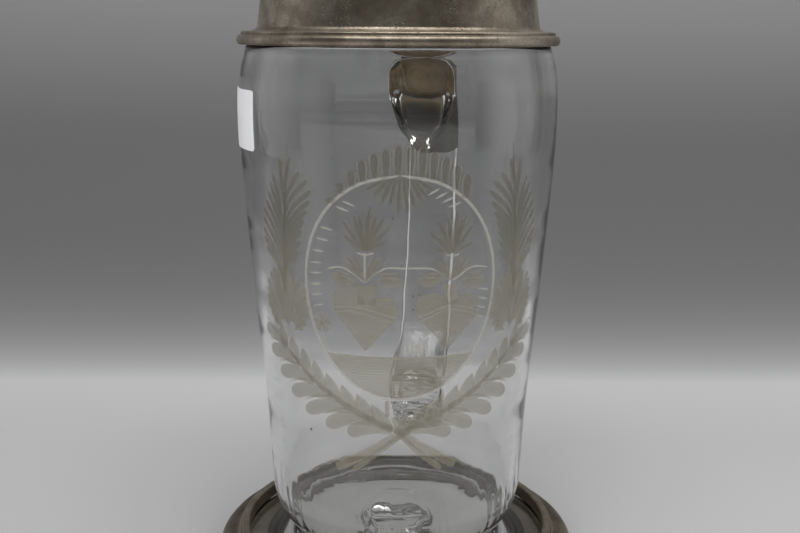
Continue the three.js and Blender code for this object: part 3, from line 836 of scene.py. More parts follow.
@dataclass
class StrapHandle:
    """The fused strap handle: how far its centre line stands out from the wall and rises, and its section."""

    vessel: Vessel
    root_height: float = 168.8
    sink: float = 2.0
    crown: Point = (15.0, 1.5)
    bend: Point = (30.7, -9.0)
    grip: Point = (35.2, -31.0)
    join_height: float = 50.0
    fall: Point = (38.5, 48.0)
    knee: Point = (24.0, 14.0)
    tail_drop: float = 12.0
    toe: Point = (11.0, -18.5)
    tip: Point = (21.0, -12.5)
    curl: Point = (19.5, -4.0)
    width: float = 21.0
    thickness: float = 9.5
    root_width: float = 26.0
    root_above: float = 9.5
    root_below: float = 26.0
    root_flare: float = 9.5
    root_heel: float = 10.5
    join_width: float = 23.0
    join_flare: float = 16.0
    tail_width: float = 17.0
    tail_thickness: float = 6.0
    crimp_pitch: float = 3.4
    crimp_depth: float = 1.0
    steps: int = 300
    section: int = 40
    line: SmoothCurve = field(init=False)
    join_share: float = field(init=False)

    def __post_init__(self) -> None:
        """Draws the centre line, and finds where it meets the body again."""
        root = float(self.vessel.radius(self.root_height))
        join = float(self.vessel.radius(self.join_height))
        pressed = join + self.thickness / 2 - self.sink
        upper = [(root + out, self.root_height + up) for out, up in (self.crown, self.bend, self.grip)]
        lower = [(join + out, self.join_height + up) for out, up in (self.fall, self.knee)]
        tail = [(join + out, self.join_height + up) for out, up in (self.toe, self.tip, self.curl)]
        pressed_on = [(pressed, self.join_height), (pressed, self.join_height - self.tail_drop)]
        self.line = SmoothCurve([(root - self.sink, self.root_height), *upper, *lower, *pressed_on, *tail])
        self.join_share = self.share_at(self.join_height)

    def share_at(self, height: float) -> float:
        """Returns the share of the length at which the line, past its crown, first falls to a height."""
        shares = np.linspace(0, 1, 2001)
        past_crown = shares * self.line.length > self.crown[0]
        return float(shares[np.argmax(past_crown & (self.line.at(shares)[:, 1] <= height))])

    def half_size(self, shares: np.ndarray) -> tuple[np.ndarray, np.ndarray, np.ndarray]:
        """Returns how far the skin is from the line at shares of the length: sideways, above and below."""
        from_root = shares * self.line.length
        from_join = (shares - self.join_share) * self.line.length
        root = np.exp(-((from_root / self.root_flare) ** 2))
        heel = np.exp(-((from_root / self.root_heel) ** 2))
        join = np.exp(-((from_join / self.join_flare) ** 2))
        tail = smoothstep(from_join, 0, (1 - self.join_share) * self.line.length * 0.6)
        shaft = self.width + (self.tail_width - self.width) * tail
        deep = self.thickness + (self.tail_thickness - self.thickness) * tail
        crimp = tail * self.crimp_depth * np.cos(2 * np.pi * from_root / self.crimp_pitch)
        wide = shaft + (self.join_width - shaft) * join
        wide = wide + (self.root_width - wide) * root
        half = (deep + crimp) / 2
        return wide / 2, half + (self.root_above - half) * root, half + (self.root_below - half) * heel

    def loops(self, shares: np.ndarray, angles: np.ndarray, margin: float = 0) -> np.ndarray:
        """Returns points on the handle's skin, or a margin outside it.

        Args:
            shares: Shares of the handle's length.
            angles: Angles round the section from +X, one row of them for all or one for each share.
            margin: The distance outside the skin.

        Returns:
            An array of loops, points and coordinates.
        """
        centre, tangent = self.line.at(shares), self.line.tangent(shares)
        side, above, below = (size[:, None] + margin for size in self.half_size(shares))
        across = side * np.cos(angles)
        outward = np.where(np.sin(angles) > 0, above, below) * np.sin(angles)
        out = centre[:, :1] - tangent[:, 1:] * outward
        up = centre[:, 1:] + tangent[:, :1] * outward
        return np.stack([across, out, up], axis=-1)

    def shape(self) -> Shape:
        """Returns the closed handle, which runs a little way into the body's wall."""
        shares = np.linspace(0, 1, self.steps + 1)
        angles = 2 * np.pi * (np.arange(self.section) + 0.5) / self.section
        end = np.linspace(1, 0.05, 5)[1:]
        loops = self.loops(shares, angles)
        last = loops[-1]
        middle = last.mean(axis=0)
        ahead = self.line.tangent(np.array([1.0]))[0] * self.tail_thickness * 0.35
        bulge = np.array([0, ahead[0], ahead[1]])
        caps = [middle + bulge * math.sqrt(1 - size**2) + (last - middle) * size for size in end]
        return lofted(np.concatenate([loops, np.array(caps)]))


@dataclass(frozen=True)
class Seam:
    """The zone close to the outside of the body where the handle leaves it, and how it is smoothed."""

    behind: float = 20.0
    half_width: float = 17.0
    low: float = 28.0
    high: float = 182.0
    nearest: float = 0.05
    farthest: float = 1.6
    passes: int = 12
    strength: float = 0.5

    def holds(self, place: Vector, vessel: Vessel) -> bool:
        """Tells whether a place is in the zone."""
        x, y, z = place / MM
        y -= AXIS_Y
        off = math.hypot(x, y) - float(vessel.radius(z))
        near = y > self.behind and abs(x) < self.half_width and self.low < z < self.high
        return near and self.nearest < off < self.farthest

    def smooth(self, work: bmesh.types.BMesh, vessel: Vessel) -> None:
        """Softens the edge along the zone."""
        inside = [v for v in work.verts if self.holds(v.co, vessel)]
        along = {"use_axis_x": True, "use_axis_y": True, "use_axis_z": True}
        for _ in range(self.passes):
            bmesh.ops.smooth_vert(work, verts=inside, factor=self.strength, **along)


def fused_glass(vessel: Vessel, handle: StrapHandle, material: bpy.types.Material) -> bpy.types.Object:
    """Fuses body, foot and handle into one piece of glass, with a soft edge where the handle is stuck on.

    Args:
        vessel: The body and foot.
        handle: The handle.
        material: The glass.

    Returns:
        The fused piece.
    """
    piece = vessel.shape().made("tankard_glass", 60)
    grip = handle.shape().made("handle_blank", 60)
    keep_out_of_hollow(grip.data, vessel)
    union = piece.modifiers.new("fuse", "BOOLEAN")
    union.operation, union.solver, union.object = "UNION", "EXACT", grip
    apply_modifiers(piece)
    bpy.data.objects.remove(grip)
    work = bmesh.new()
    work.from_mesh(piece.data)
    bmesh.ops.remove_doubles(work, verts=work.verts, dist=0.005 * MM)
    Seam().smooth(work, vessel)
    work.to_mesh(piece.data)
    work.free()
    soften_shading(piece.data, 70)
    return dressed(piece, material)


def keep_out_of_hollow(mesh: bpy.types.Mesh, vessel: Vessel, wall_share: float = 0.4) -> None:
    """Moves what would reach into the drinking space back to a share of the wall's thickness from outside."""
    for vertex in mesh.vertices:
        x, y, z = vertex.co / MM
        y -= AXIS_Y
        depth = float(vessel.thickness(z)) * wall_share
        limit = float(vessel.radius(z)) - depth
        if math.hypot(x, y) < limit:
            vertex.co.y = (math.sqrt(limit**2 - x**2) + AXIS_Y) * MM


@dataclass
class FootRing:
    """The moulded pewter ring round the edge of the foot."""

    foot_radius: float = 54.4
    foot_rim_height: float = 4.2
    foot_rim_thickness: float = 6.0
    grip_gap: float = 0.3
    flare: float = 9.55
    bead_radius: float = 4.6
    bead_height: float = 5.8
    height: float = 15.0
    lip_overlap: float = 1.3
    lip_width: float = 2.8
    sole_overlap: float = 7.4
    segments: int = 256

    def build(self, material: bpy.types.Material) -> bpy.types.Object:
        """Returns the dressed ring."""
        groove = self.foot_radius + self.grip_gap
        underside = self.foot_rim_height + self.foot_rim_thickness + self.grip_gap
        ledge = self.foot_rim_height - self.grip_gap
        inner = self.foot_radius - self.lip_overlap
        outer = inner + self.lip_width
        sole = self.foot_radius - self.sole_overlap
        centre = self.foot_radius + self.flare - self.bead_radius
        bead = arc((centre, self.bead_height), (self.bead_radius, self.bead_radius), -62, 84, 22)
        cove_top = self.height - 1.6
        cove_foot = self.bead_height + self.bead_radius + 0.4
        cove = arc((centre, cove_top), (centre - outer - 0.6, cove_top - cove_foot), 268, 182, 12)
        top = [
            (outer + 0.25, cove_top + 0.1),
            (outer + 0.25, self.height - 0.7),
            (outer - 0.7, self.height),
            (inner + 0.6, self.height),
            (inner, self.height - 0.6),
        ]
        hidden = [(inner, underside), (groove, underside), (groove, ledge), (sole, ledge), (sole, 0.6)]
        outline = eased([(sole + 0.6, 0), (centre + 1, 0), *bead, *cove, *top, *hidden], 0.35)
        heights = outline[:, 1]
        # Painted shade, partly with dirt: darker low on the ring near the table, in the cove, at the step and
        # behind the lip.
        low = 1 - smoothstep(heights, 0.2, 4)
        in_cove = np.exp(-(((heights - cove_foot) / 0.9) ** 2))
        in_step = np.exp(-(((heights - cove_top) / 0.7) ** 2)) * (outline[:, 0] > inner + 0.1)
        behind_lip = (outline[:, 0] < inner + 0.2) * 0.85
        grime = np.clip(0.32 + 0.4 * low + 0.6 * in_cove + 0.6 * in_step + behind_lip, 0, 1)
        piece = turned(outline, self.segments, grime).made("foot_ring_pewter", 50)
        return ridden(dressed(piece, material), TANKARD, "pewter", "foot_ring")


@dataclass
class Lid:
    """The hollow cast lid: rim, drum and dome, with heights above its seat on the glass."""

    seat: float = 183.0
    mouth_radius: float = 50.6
    mouth_wall: float = 2.4
    rim_radius: float = 53.1
    rim_undercut: float = 1.1
    bead_height: float = 3.1
    step_inset: float = 1.5
    step_height: float = 4.3
    drum_inset: float = 6.8
    drum_foot: float = 5.6
    cove_width: float = 2.2
    drum_taper: float = 1.7
    drum_top: float = 18.0
    dome_inset: float = 6.6
    dome_foot: float = 23.6
    dome_top: float = 31.0
    button_radius: float = 5.0
    button_height: float = 1.6
    wall: float = 1.8
    bezel_clearance: float = 0.8
    bezel_depth: float = 1.5
    bezel_wall: float = 2.0
    segments: int = 240

    def build(self, material: bpy.types.Material) -> bpy.types.Object:
        """Returns the dressed lid."""
        half = self.bead_height / 2
        bead = arc((self.rim_radius - self.rim_undercut, half), (self.rim_undercut, half), -90, 90, 18)
        bezel = self.mouth_radius - self.mouth_wall - self.bezel_clearance
        step = self.rim_radius - self.step_inset
        drum = self.rim_radius - self.drum_inset
        dome = drum - self.drum_taper - self.dome_inset
        roll = (self.dome_inset - 1, self.dome_foot - self.drum_top)
        rise = self.dome_top - self.dome_foot
        inner_roll = (self.dome_inset, self.dome_foot - self.wall - self.drum_top + 1)
        drum_wall = np.linspace((drum, self.drum_foot), (drum - self.drum_taper + 0.05, self.drum_top), 5)
        outside = [
            (bezel - self.bezel_wall, -self.bezel_depth),
            (bezel - 0.5, -self.bezel_depth),
            (bezel, 0.5 - self.bezel_depth),
            (bezel, 0),
            *bead,
            (step, self.bead_height + 0.2),
            (step, self.step_height - 0.3),
            (step - 0.4, self.step_height),
            (drum + self.cove_width, self.step_height),
            (drum + 0.6, self.step_height + 0.6),
            *drum_wall,
            *arc((dome + 1, self.drum_top), roll, 8, 90, 14),
            *arc((0, self.dome_foot), (dome, rise), 8, 82, 20),
            (self.button_radius, self.dome_top),
            (self.button_radius - 0.8, self.dome_top + self.button_height * 0.8),
            (0, self.dome_top + self.button_height),
        ]
        inside = [
            *arc((0, self.dome_foot - self.wall), (dome - self.wall, rise), 90, 12, 16),
            *arc((dome - self.wall, self.drum_top - 1), inner_roll, 90, 0, 10),
            (drum - self.wall, self.drum_foot),
            (bezel - self.bezel_wall, 0),
        ]
        outline = self.closed_outline(outside, inside)
        heights = outline[:, 1]
        # Painted shade, partly with dirt: darker in the groove over the bead, at the foot of the drum, at the
        # foot of the dome and on the underside.
        in_groove = np.exp(-(((heights - self.bead_height - 0.2) / 0.35) ** 2))
        at_drum = np.exp(-(((heights - self.step_height - 0.4) / 0.7) ** 2)) * (outline[:, 0] < drum + 2.4)
        at_dome = np.exp(-(((heights - self.dome_foot - 0.6) / 0.8) ** 2))
        under = (heights < 0.6) * 0.6
        grime = np.clip(0.7 * in_groove + 0.55 * at_drum + 0.5 * at_dome + under, 0, 1)
        lifted = outline + np.array([0, self.seat])
        piece = turned(lifted, self.segments, grime).made("lid_pewter", 50)
        return ridden(dressed(piece, material), LID_ASSEMBLY, "pewter", "lid")

    @staticmethod
    def closed_outline(outside: list, inside: list) -> np.ndarray:
        """Joins the two sides of the lid into one outline that starts and ends on the axis."""
        half_way = eased([*inside, *outside], 0.22)
        half_way[0, 0] = half_way[-1, 0] = 0
        return half_way


@dataclass
class ThumbPiece:
    """The turned piece that the thumb presses."""

    height: float = 21.0
    foot_radius: float = 4.4
    stem_radius: float = 2.4
    ball_radius: float = 5.8
    tip_radius: float = 2.0
    segments: int = 64

    def build(self, material: bpy.types.Material) -> bpy.types.Object:
        """Returns the dressed thumb piece, standing where its CAD node stands."""
        low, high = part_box("thumb_piece")
        ball = self.height - self.tip_radius * 1.4 - self.ball_radius
        neck = ball - self.ball_radius * 0.95
        outline = eased(
            [
                (0, 0),
                (self.foot_radius, 0),
                (self.foot_radius, 0.9),
                (self.foot_radius - 1.2, 1.6),
                (self.stem_radius, 3.2),
                (self.stem_radius, neck),
                *arc((0, ball), (self.ball_radius, self.ball_radius), -60, 62, 24),
                *arc((0, self.height - self.tip_radius), (self.tip_radius, self.tip_radius), -30, 88, 10),
                (0, self.height),
            ],
            0.3,
        )
        # Painted shade, partly with dirt: darker in the crease where the foot meets the stem.
        grime = np.exp(-(((outline[:, 1] - 3.2) / 1.2) ** 2)) * 0.8
        shape = turned(outline, self.segments, grime)
        shape.points += np.array([0, (low.y + high.y) / 2 / MM - AXIS_Y, low.z / MM])
        piece = shape.made("thumb_piece_pewter", 50)
        return ridden(dressed(piece, material), LID_ASSEMBLY, "pewter", "thumb_piece")


@dataclass
class HingeMounts:
    """The lug on the lid, the strap on the handle, and the pin through both."""

    edge_round: float = 0.22
    smooth_angle: float = 38

    def build(self, pewter: bpy.types.Material, steel: bpy.types.Material) -> None:
        """Dresses the three pieces."""
        lug = merged_copy("lid_hinge_lug", "lid_hinge_lug_pewter", self.smooth_angle, self.edge_round)
        ridden(dressed(lug, pewter), LID_ASSEMBLY, "pewter", "lid_hinge_lug")
        strap = merged_copy("handle_strap", "handle_strap_pewter", self.smooth_angle, self.edge_round)
        ridden(dressed(strap, pewter), TANKARD, "pewter", "handle_strap")
        pin = merged_copy("hinge_pin", "hinge_pin_steel", self.smooth_angle, self.edge_round)
        ridden(dressed(pin, steel), TANKARD, "pin_steel", "hinge_pin")


@dataclass
class StrapBedding:
    """The old brown cement that fills the gap between the pewter strap and the glass of the handle.

    It is at its full width when 1 / widening of it is run, and the last of its end parts is rounded off.
    """

    handle: StrapHandle
    start: float = 3.5
    end_height: float = 137.8
    start_width: float = 18.0
    end_width: float = 20.4
    widening: float = 1.4
    end_parts: int = 8
    end_cut: float = 0.8
    widest: float = 0.98
    sink: float = 0.06
    thickness: float = 0.24
    steps: int = 40
    columns: int = 24

    def build(self, material: bpy.types.Material) -> bpy.types.Object:
        """Returns the dressed bedding, which is in touch with the glass all over."""
        handle = self.handle
        first, last = self.start / handle.line.length, handle.share_at(self.end_height)
        shares = np.linspace(first, last, self.steps + 1)
        along = np.linspace(0, 1, self.steps + 1)
        width = self.start_width + (self.end_width - self.start_width) * np.minimum(1, along * self.widening)
        rounding = np.clip(along * self.end_parts - (self.end_parts - 1), 0, 1)
        width = width * np.sqrt(1 - self.end_cut * rounding**2)
        half = np.arcsin(np.minimum(self.widest, width / 2 / handle.half_size(shares)[0]))
        angles = np.pi / 2 + half[:, None] * np.linspace(-1, 1, self.columns + 1)
        outer = handle.loops(shares, angles, self.thickness)
        inner = handle.loops(shares, angles, -self.sink)[:, ::-1]
        piece = lofted(np.concatenate([outer, inner], axis=1)).made("strap_bedding", 50)
        return ridden(dressed(piece, material), TANKARD, "pewter")


@dataclass
class PaperLabel:
    """A small blank sticker, bent round the body."""

    vessel: Vessel
    angle: float = -64.0
    width: float = 30.0
    height: float = 18.8
    drop: float = 22.9
    thickness: float = 0.25
    gap: float = 0.1
    corner_radius: float = 1.2
    columns: int = 72
    rows: int = 14

    def build(self, material: bpy.types.Material) -> bpy.types.Object:
        """Returns the dressed label."""
        half_width = self.width / 2
        across = half_width * np.sin(np.radians(np.linspace(-90, 90, self.columns + 1)))
        into = np.maximum(0, np.abs(across) - half_width + self.corner_radius)
        cut = self.corner_radius - np.sqrt(np.maximum(0, self.corner_radius**2 - into**2))
        half_height = self.height / 2 - cut
        sides = np.linspace(-1, 1, self.rows + 1)
        centre = self.vessel.body_height - self.drop
        heights = centre + half_height[:, None] * sides
        angles = math.radians(self.angle) + across[:, None] / self.vessel.shoulder[0] + 0 * heights
        loops = []
        for margin, order in ((self.thickness, 1), (0, -1)):
            radius = self.vessel.radius(heights) + self.gap + margin
            layer = np.stack([radius * np.sin(angles), -radius * np.cos(angles), heights], axis=-1)
            loops.append(layer[:, ::order])
        piece = lofted(np.concatenate(loops, axis=1)).made("paper_label_blank", 50)
        return ridden(dressed(piece, material), TANKARD, "paper", "paper_label")


CUT_DEPTH = 0.11
CUT_BED = 0.02
DISH = ((-1, 0), (-0.86, 1), (-0.45, 0.45), (0, 0.3), (0.45, 0.45), (0.86, 1), (1, 0))
# How much painted highlight each point across a cut's section carries: its raised edges most.
DISH_GLEAM = (0, 0.6, 0, 0.12, 0, 0.6, 0)
FINE_WIDTH = 1.3


def width_share(taper: Taper, shares: np.ndarray) -> np.ndarray:
    """Returns a stroke's width at shares of its length, as a share of its greatest width."""
    if taper is Taper.LEAF:
        return np.maximum(np.sin(np.pi * shares) ** 0.8, 0.04)
    if taper is Taper.LOBE:
        tip = np.clip((shares - 0.84) / 0.16, 0, 1)
        return np.maximum((0.3 + 0.7 * smoothstep(shares, 0.05, 0.8)) * np.sqrt(1 - tip**2), 0.04)
    if taper is Taper.PETAL:
        tip = np.clip((shares - 0.78) / 0.22, 0, 1)
        return np.maximum((0.72 + 0.28 * smoothstep(shares, 0, 0.6)) * np.sqrt(1 - tip**2), 0.04)
    if taper is Taper.THORN:
        root = np.clip(1 - shares / 0.08, 0, 1)
        return np.maximum((1 - shares) ** 0.65 * np.sqrt(1 - root**2), 0.04)
    end = np.clip(np.abs(shares * 2 - 1) / 0.06 - 1 / 0.06 + 1, 0, 1)
    return np.maximum(np.sqrt(1 - end**2), 0.04)


def stroke(points: Sequence[Point], width: float, taper: Taper, steps: int = 0, fine: bool = False) -> Shape:
    """Returns one engraved stroke, lying flat.

    Args:
        points: What its centre line passes through, across and up.
        width: Its greatest width.
        taper: How its width runs.
        steps: The rows along it, or 0 for one about every millimetre.
        fine: Whether all of it carries the painted highlight of one bright line, as every stroke up to
            FINE_WIDTH does.

    Returns:
        A thin closed shape with a raised edge and a dished middle, as a wheel leaves it, and a painted
        highlight along the raised edge.
    """
    line = SmoothCurve(points, 24)
    steps = steps or max(8, round(line.length / 1.1))
    shares = 0.5 - 0.5 * np.cos(np.pi * np.linspace(0, 1, steps + 1))
    centre, along = line.at(shares), line.tangent(shares)
    half = width_share(taper, shares) * width / 2
    side = np.stack([-along[:, 1], along[:, 0]], axis=-1)
    ring = np.array(DISH)
    flat = centre[:, None] + side[:, None] * half[:, None, None] * ring[None, :, :1]
    lift = CUT_BED + CUT_DEPTH * ring[None, :, 1] * np.minimum(1, half * 2)[:, None]
    shape = lofted(np.concatenate([flat, lift[:, :, None]], axis=2))
    gleam = np.ones(len(DISH)) if fine or width <= FINE_WIDTH else np.array(DISH_GLEAM)
    shape.traits["gleam"] = np.tile(gleam, len(shares))
    return shape


def hatched(outline: Sequence[Point], pitch: float, column: float = 1.6) -> Shape:
    """Fills an outline with level engraved lines that lie side by side.

    Args:
        outline: The closed outline, across and up.
        pitch: The height of one line.
        column: The greatest length of one facet.

    Returns:
        The closed strips as one shape.
    """
    points = np.array(outline)
    ends = np.roll(points, -1, axis=0)
    result = Shape(np.zeros((0, 3)), [], {"gleam": np.zeros(0)})
    for bottom in np.arange(points[:, 1].min() + 0.02, points[:, 1].max() - pitch * 0.6, pitch):
        edges = [crossings(points, ends, level) for level in (bottom, bottom + pitch * 0.98)]
        if len(edges[0]) != len(edges[1]):
            edges = [max(edges, key=len)] * 2
        for k in range(0, len(edges[0]) - 1, 2):
            count = max(2, math.ceil((edges[0][k + 1] - edges[0][k]) / column))
            shares = np.linspace(0, 1, count + 1)
            low = edges[0][k] + shares * (edges[0][k + 1] - edges[0][k])
            high = edges[1][k] + shares * (edges[1][k + 1] - edges[1][k])
            result = result.plus(strip(low, high, bottom, bottom + pitch * 0.98))
    return result


def crossings(points: np.ndarray, ends: np.ndarray, level: float) -> list[float]:
    """Returns where the sides of an outline cross a level, from left to right."""
    found = []
    for (x0, y0), (x1, y1) in zip(points, ends):
        if (y0 <= level) != (y1 <= level):
            found.append(x0 + (level - y0) / (y1 - y0) * (x1 - x0))
    return sorted(found)


def strip(low: np.ndarray, high: np.ndarray, bottom: float, top: float) -> Shape:
    """Returns one level line of a hatching, between the places of its lower and its upper edge."""
    rise = (top - bottom) * 0.3
    rows = ((low, bottom, 0.0), (low, bottom + rise, 0.3), (high, top - rise, 0.3), (high, top, 0.0))
    loops = [
        np.stack([x, np.full_like(x, y), np.full_like(x, CUT_BED + CUT_DEPTH * z)], -1) for x, y, z in rows
    ]
    shape = lofted(np.stack(loops, axis=1))
    # The lower slope of each strip carries a faint painted highlight.
    shape.traits["gleam"] = np.tile([0, 0.35, 0, 0], len(low))
    return shape


@dataclass(frozen=True)
class Cut:
    """One straight cut of a row: its root, length and width, and the way it points, in degrees from up."""

    across: float
    up: float
    length: float
    width: float
    turn: float


class CutRows:
    """A Geometry Nodes tree that sets one cut shape on every point of a row."""

    def __init__(self) -> None:
        """Builds the tree with its named inputs."""
        self.tree = bpy.data.node_groups.new("cut_rows", "GeometryNodeTree")
        self.inputs = {}
        for name, kind in (
            ("Geometry", "NodeSocketGeometry"),
            ("Cut", "NodeSocketObject"),
            ("Turn Jitter", "NodeSocketFloat"),
            ("Size Jitter", "NodeSocketFloat"),
            ("Seed", "NodeSocketInt"),
            ("Material", "NodeSocketMaterial"),
        ):
            self.inputs[name] = self.tree.interface.new_socket(name, in_out="INPUT", socket_type=kind)
        self.tree.interface.new_socket("Geometry", in_out="OUTPUT", socket_type="NodeSocketGeometry")
        given = self.tree.nodes.new("NodeGroupInput")
        result = self.tree.nodes.new("NodeGroupOutput")
        cut = self.node("GeometryNodeObjectInfo", {}, {"Object": given.outputs["Cut"]})
        turn = self.node("GeometryNodeInputNamedAttribute", {"data_type": "FLOAT"}, {"Name": "turn"})
        size = self.node("GeometryNodeInputNamedAttribute", {"data_type": "FLOAT_VECTOR"}, {"Name": "size"})
        unsteady = self.jitter(given, "Turn Jitter", 0)
        turned_by = self.maths("ADD", turn.outputs[0], unsteady)
        rotation = self.node("ShaderNodeCombineXYZ", {}, {"Z": turned_by})
        growth = self.maths("ADD", self.jitter(given, "Size Jitter", 1), 1.0)
        values = {0: size.outputs[0], "Scale": growth}
        scale = self.node("ShaderNodeVectorMath", {"operation": "SCALE"}, values)
        placed = self.node(
            "GeometryNodeInstanceOnPoints",
            {},
            {
                "Points": given.outputs["Geometry"],
                "Instance": cut.outputs["Geometry"],
                "Rotation": rotation.outputs[0],
                "Scale": scale.outputs[0],
            },
        )
        real = self.node("GeometryNodeRealizeInstances", {}, {"Geometry": placed.outputs[0]})
        values = {"Geometry": real.outputs[0], "Material": given.outputs["Material"]}
        finished = self.node("GeometryNodeSetMaterial", {}, values)
        self.tree.links.new(finished.outputs[0], result.inputs[0])

    def node(self, kind: str, settings: dict, values: dict) -> bpy.types.Node:
        """Adds a node with its settings and its linked or plain inputs."""
        node = self.tree.nodes.new(kind)
        for setting, value in settings.items():
            setattr(node, setting, value)
        for key, value in values.items():
            if isinstance(value, bpy.types.NodeSocket):
                self.tree.links.new(value, node.inputs[key])
            else:
                node.inputs[key].default_value = value
        return node

    def maths(self, operation: str, *values: Union[bpy.types.NodeSocket, float]) -> bpy.types.NodeSocket:
        """Returns the result of a Math node."""
        return self.node("ShaderNodeMath", {"operation": operation}, dict(enumerate(values))).outputs[0]

    def jitter(self, given: bpy.types.Node, amount: str, channel: int) -> bpy.types.NodeSocket:
        """Returns a random value of up to a named amount either way."""
        seed = self.maths("ADD", given.outputs["Seed"], float(channel * 17))
        number = self.node("FunctionNodeRandomValue", {"data_type": "FLOAT"}, {"Seed": seed})
        centred = self.maths("SUBTRACT", number.outputs["Value"], 0.5)
        return self.maths("MULTIPLY", centred, self.maths("MULTIPLY", given.outputs[amount], 2.0))

    def row(self, cuts: Sequence[Cut], taper: Taper, seed: int, material: bpy.types.Material) -> Shape:
        """Makes the cuts of a row.

        Args:
            cuts: Where they stand, and their sizes.
            taper: The shape of each.
            seed: The seed of their small unsteadiness.
            material: Their finish.

        Returns:
            The cuts, lying flat.
        """
        fine = max(cut.width for cut in cuts) <= FINE_WIDTH
        motif = stroke([(0, 0), (0, 0.5), (0, 1)], 2 * FINE_WIDTH, taper, 9, fine)
        motif.points[:, 0] /= 2 * FINE_WIDTH
        motif.points[:, 2] = (motif.points[:, 2] - CUT_BED) / max(1e-6, np.ptp(motif.points[:, 2]))
        blank = motif.made("cut_blank", 60, on_axis=False)
        points = bpy.data.meshes.new("cut_points")
        points.from_pydata([(cut.across * MM, cut.up * MM, CUT_BED * MM) for cut in cuts], [], [])
        turns = [math.radians(-cut.turn) for cut in cuts]
        points.attributes.new("turn", "FLOAT", "POINT").data.foreach_set("value", turns)
        sizes = [value for cut in cuts for value in (cut.width, cut.length, CUT_DEPTH)]
        points.attributes.new("size", "FLOAT_VECTOR", "POINT").data.foreach_set("vector", sizes)
        holder = bpy.data.objects.new("cut_row", points)
        bpy.context.scene.collection.objects.link(holder)
        modifier = holder.modifiers.new("cut_rows", "NODES")
        modifier.node_group = self.tree
        chosen = {"Cut": blank, "Turn Jitter": 0.035, "Size Jitter": 0.05, "Seed": seed, "Material": material}
        for name, value in chosen.items():
            modifier[self.inputs[name].identifier] = value
        apply_modifiers(holder)
        places = np.zeros(len(holder.data.vertices) * 3)
        holder.data.vertices.foreach_get("co", places)
        gleam = np.zeros(len(holder.data.vertices))
        holder.data.attributes["gleam"].data.foreach_get("value", gleam)
        faces = [list(polygon.vertices) for polygon in holder.data.polygons]
        bpy.data.objects.remove(holder)
        bpy.data.objects.remove(blank)
        return Shape(places.reshape(-1, 3) / MM, faces, {"gleam": gleam})


def pointing(root: Point, tip: Point, width: float) -> Cut:
    """Returns the cut from a root to a tip."""
    across, up = tip[0] - root[0], tip[1] - root[1]
    return Cut(root[0], root[1], math.hypot(across, up), width, math.degrees(math.atan2(across, up)))


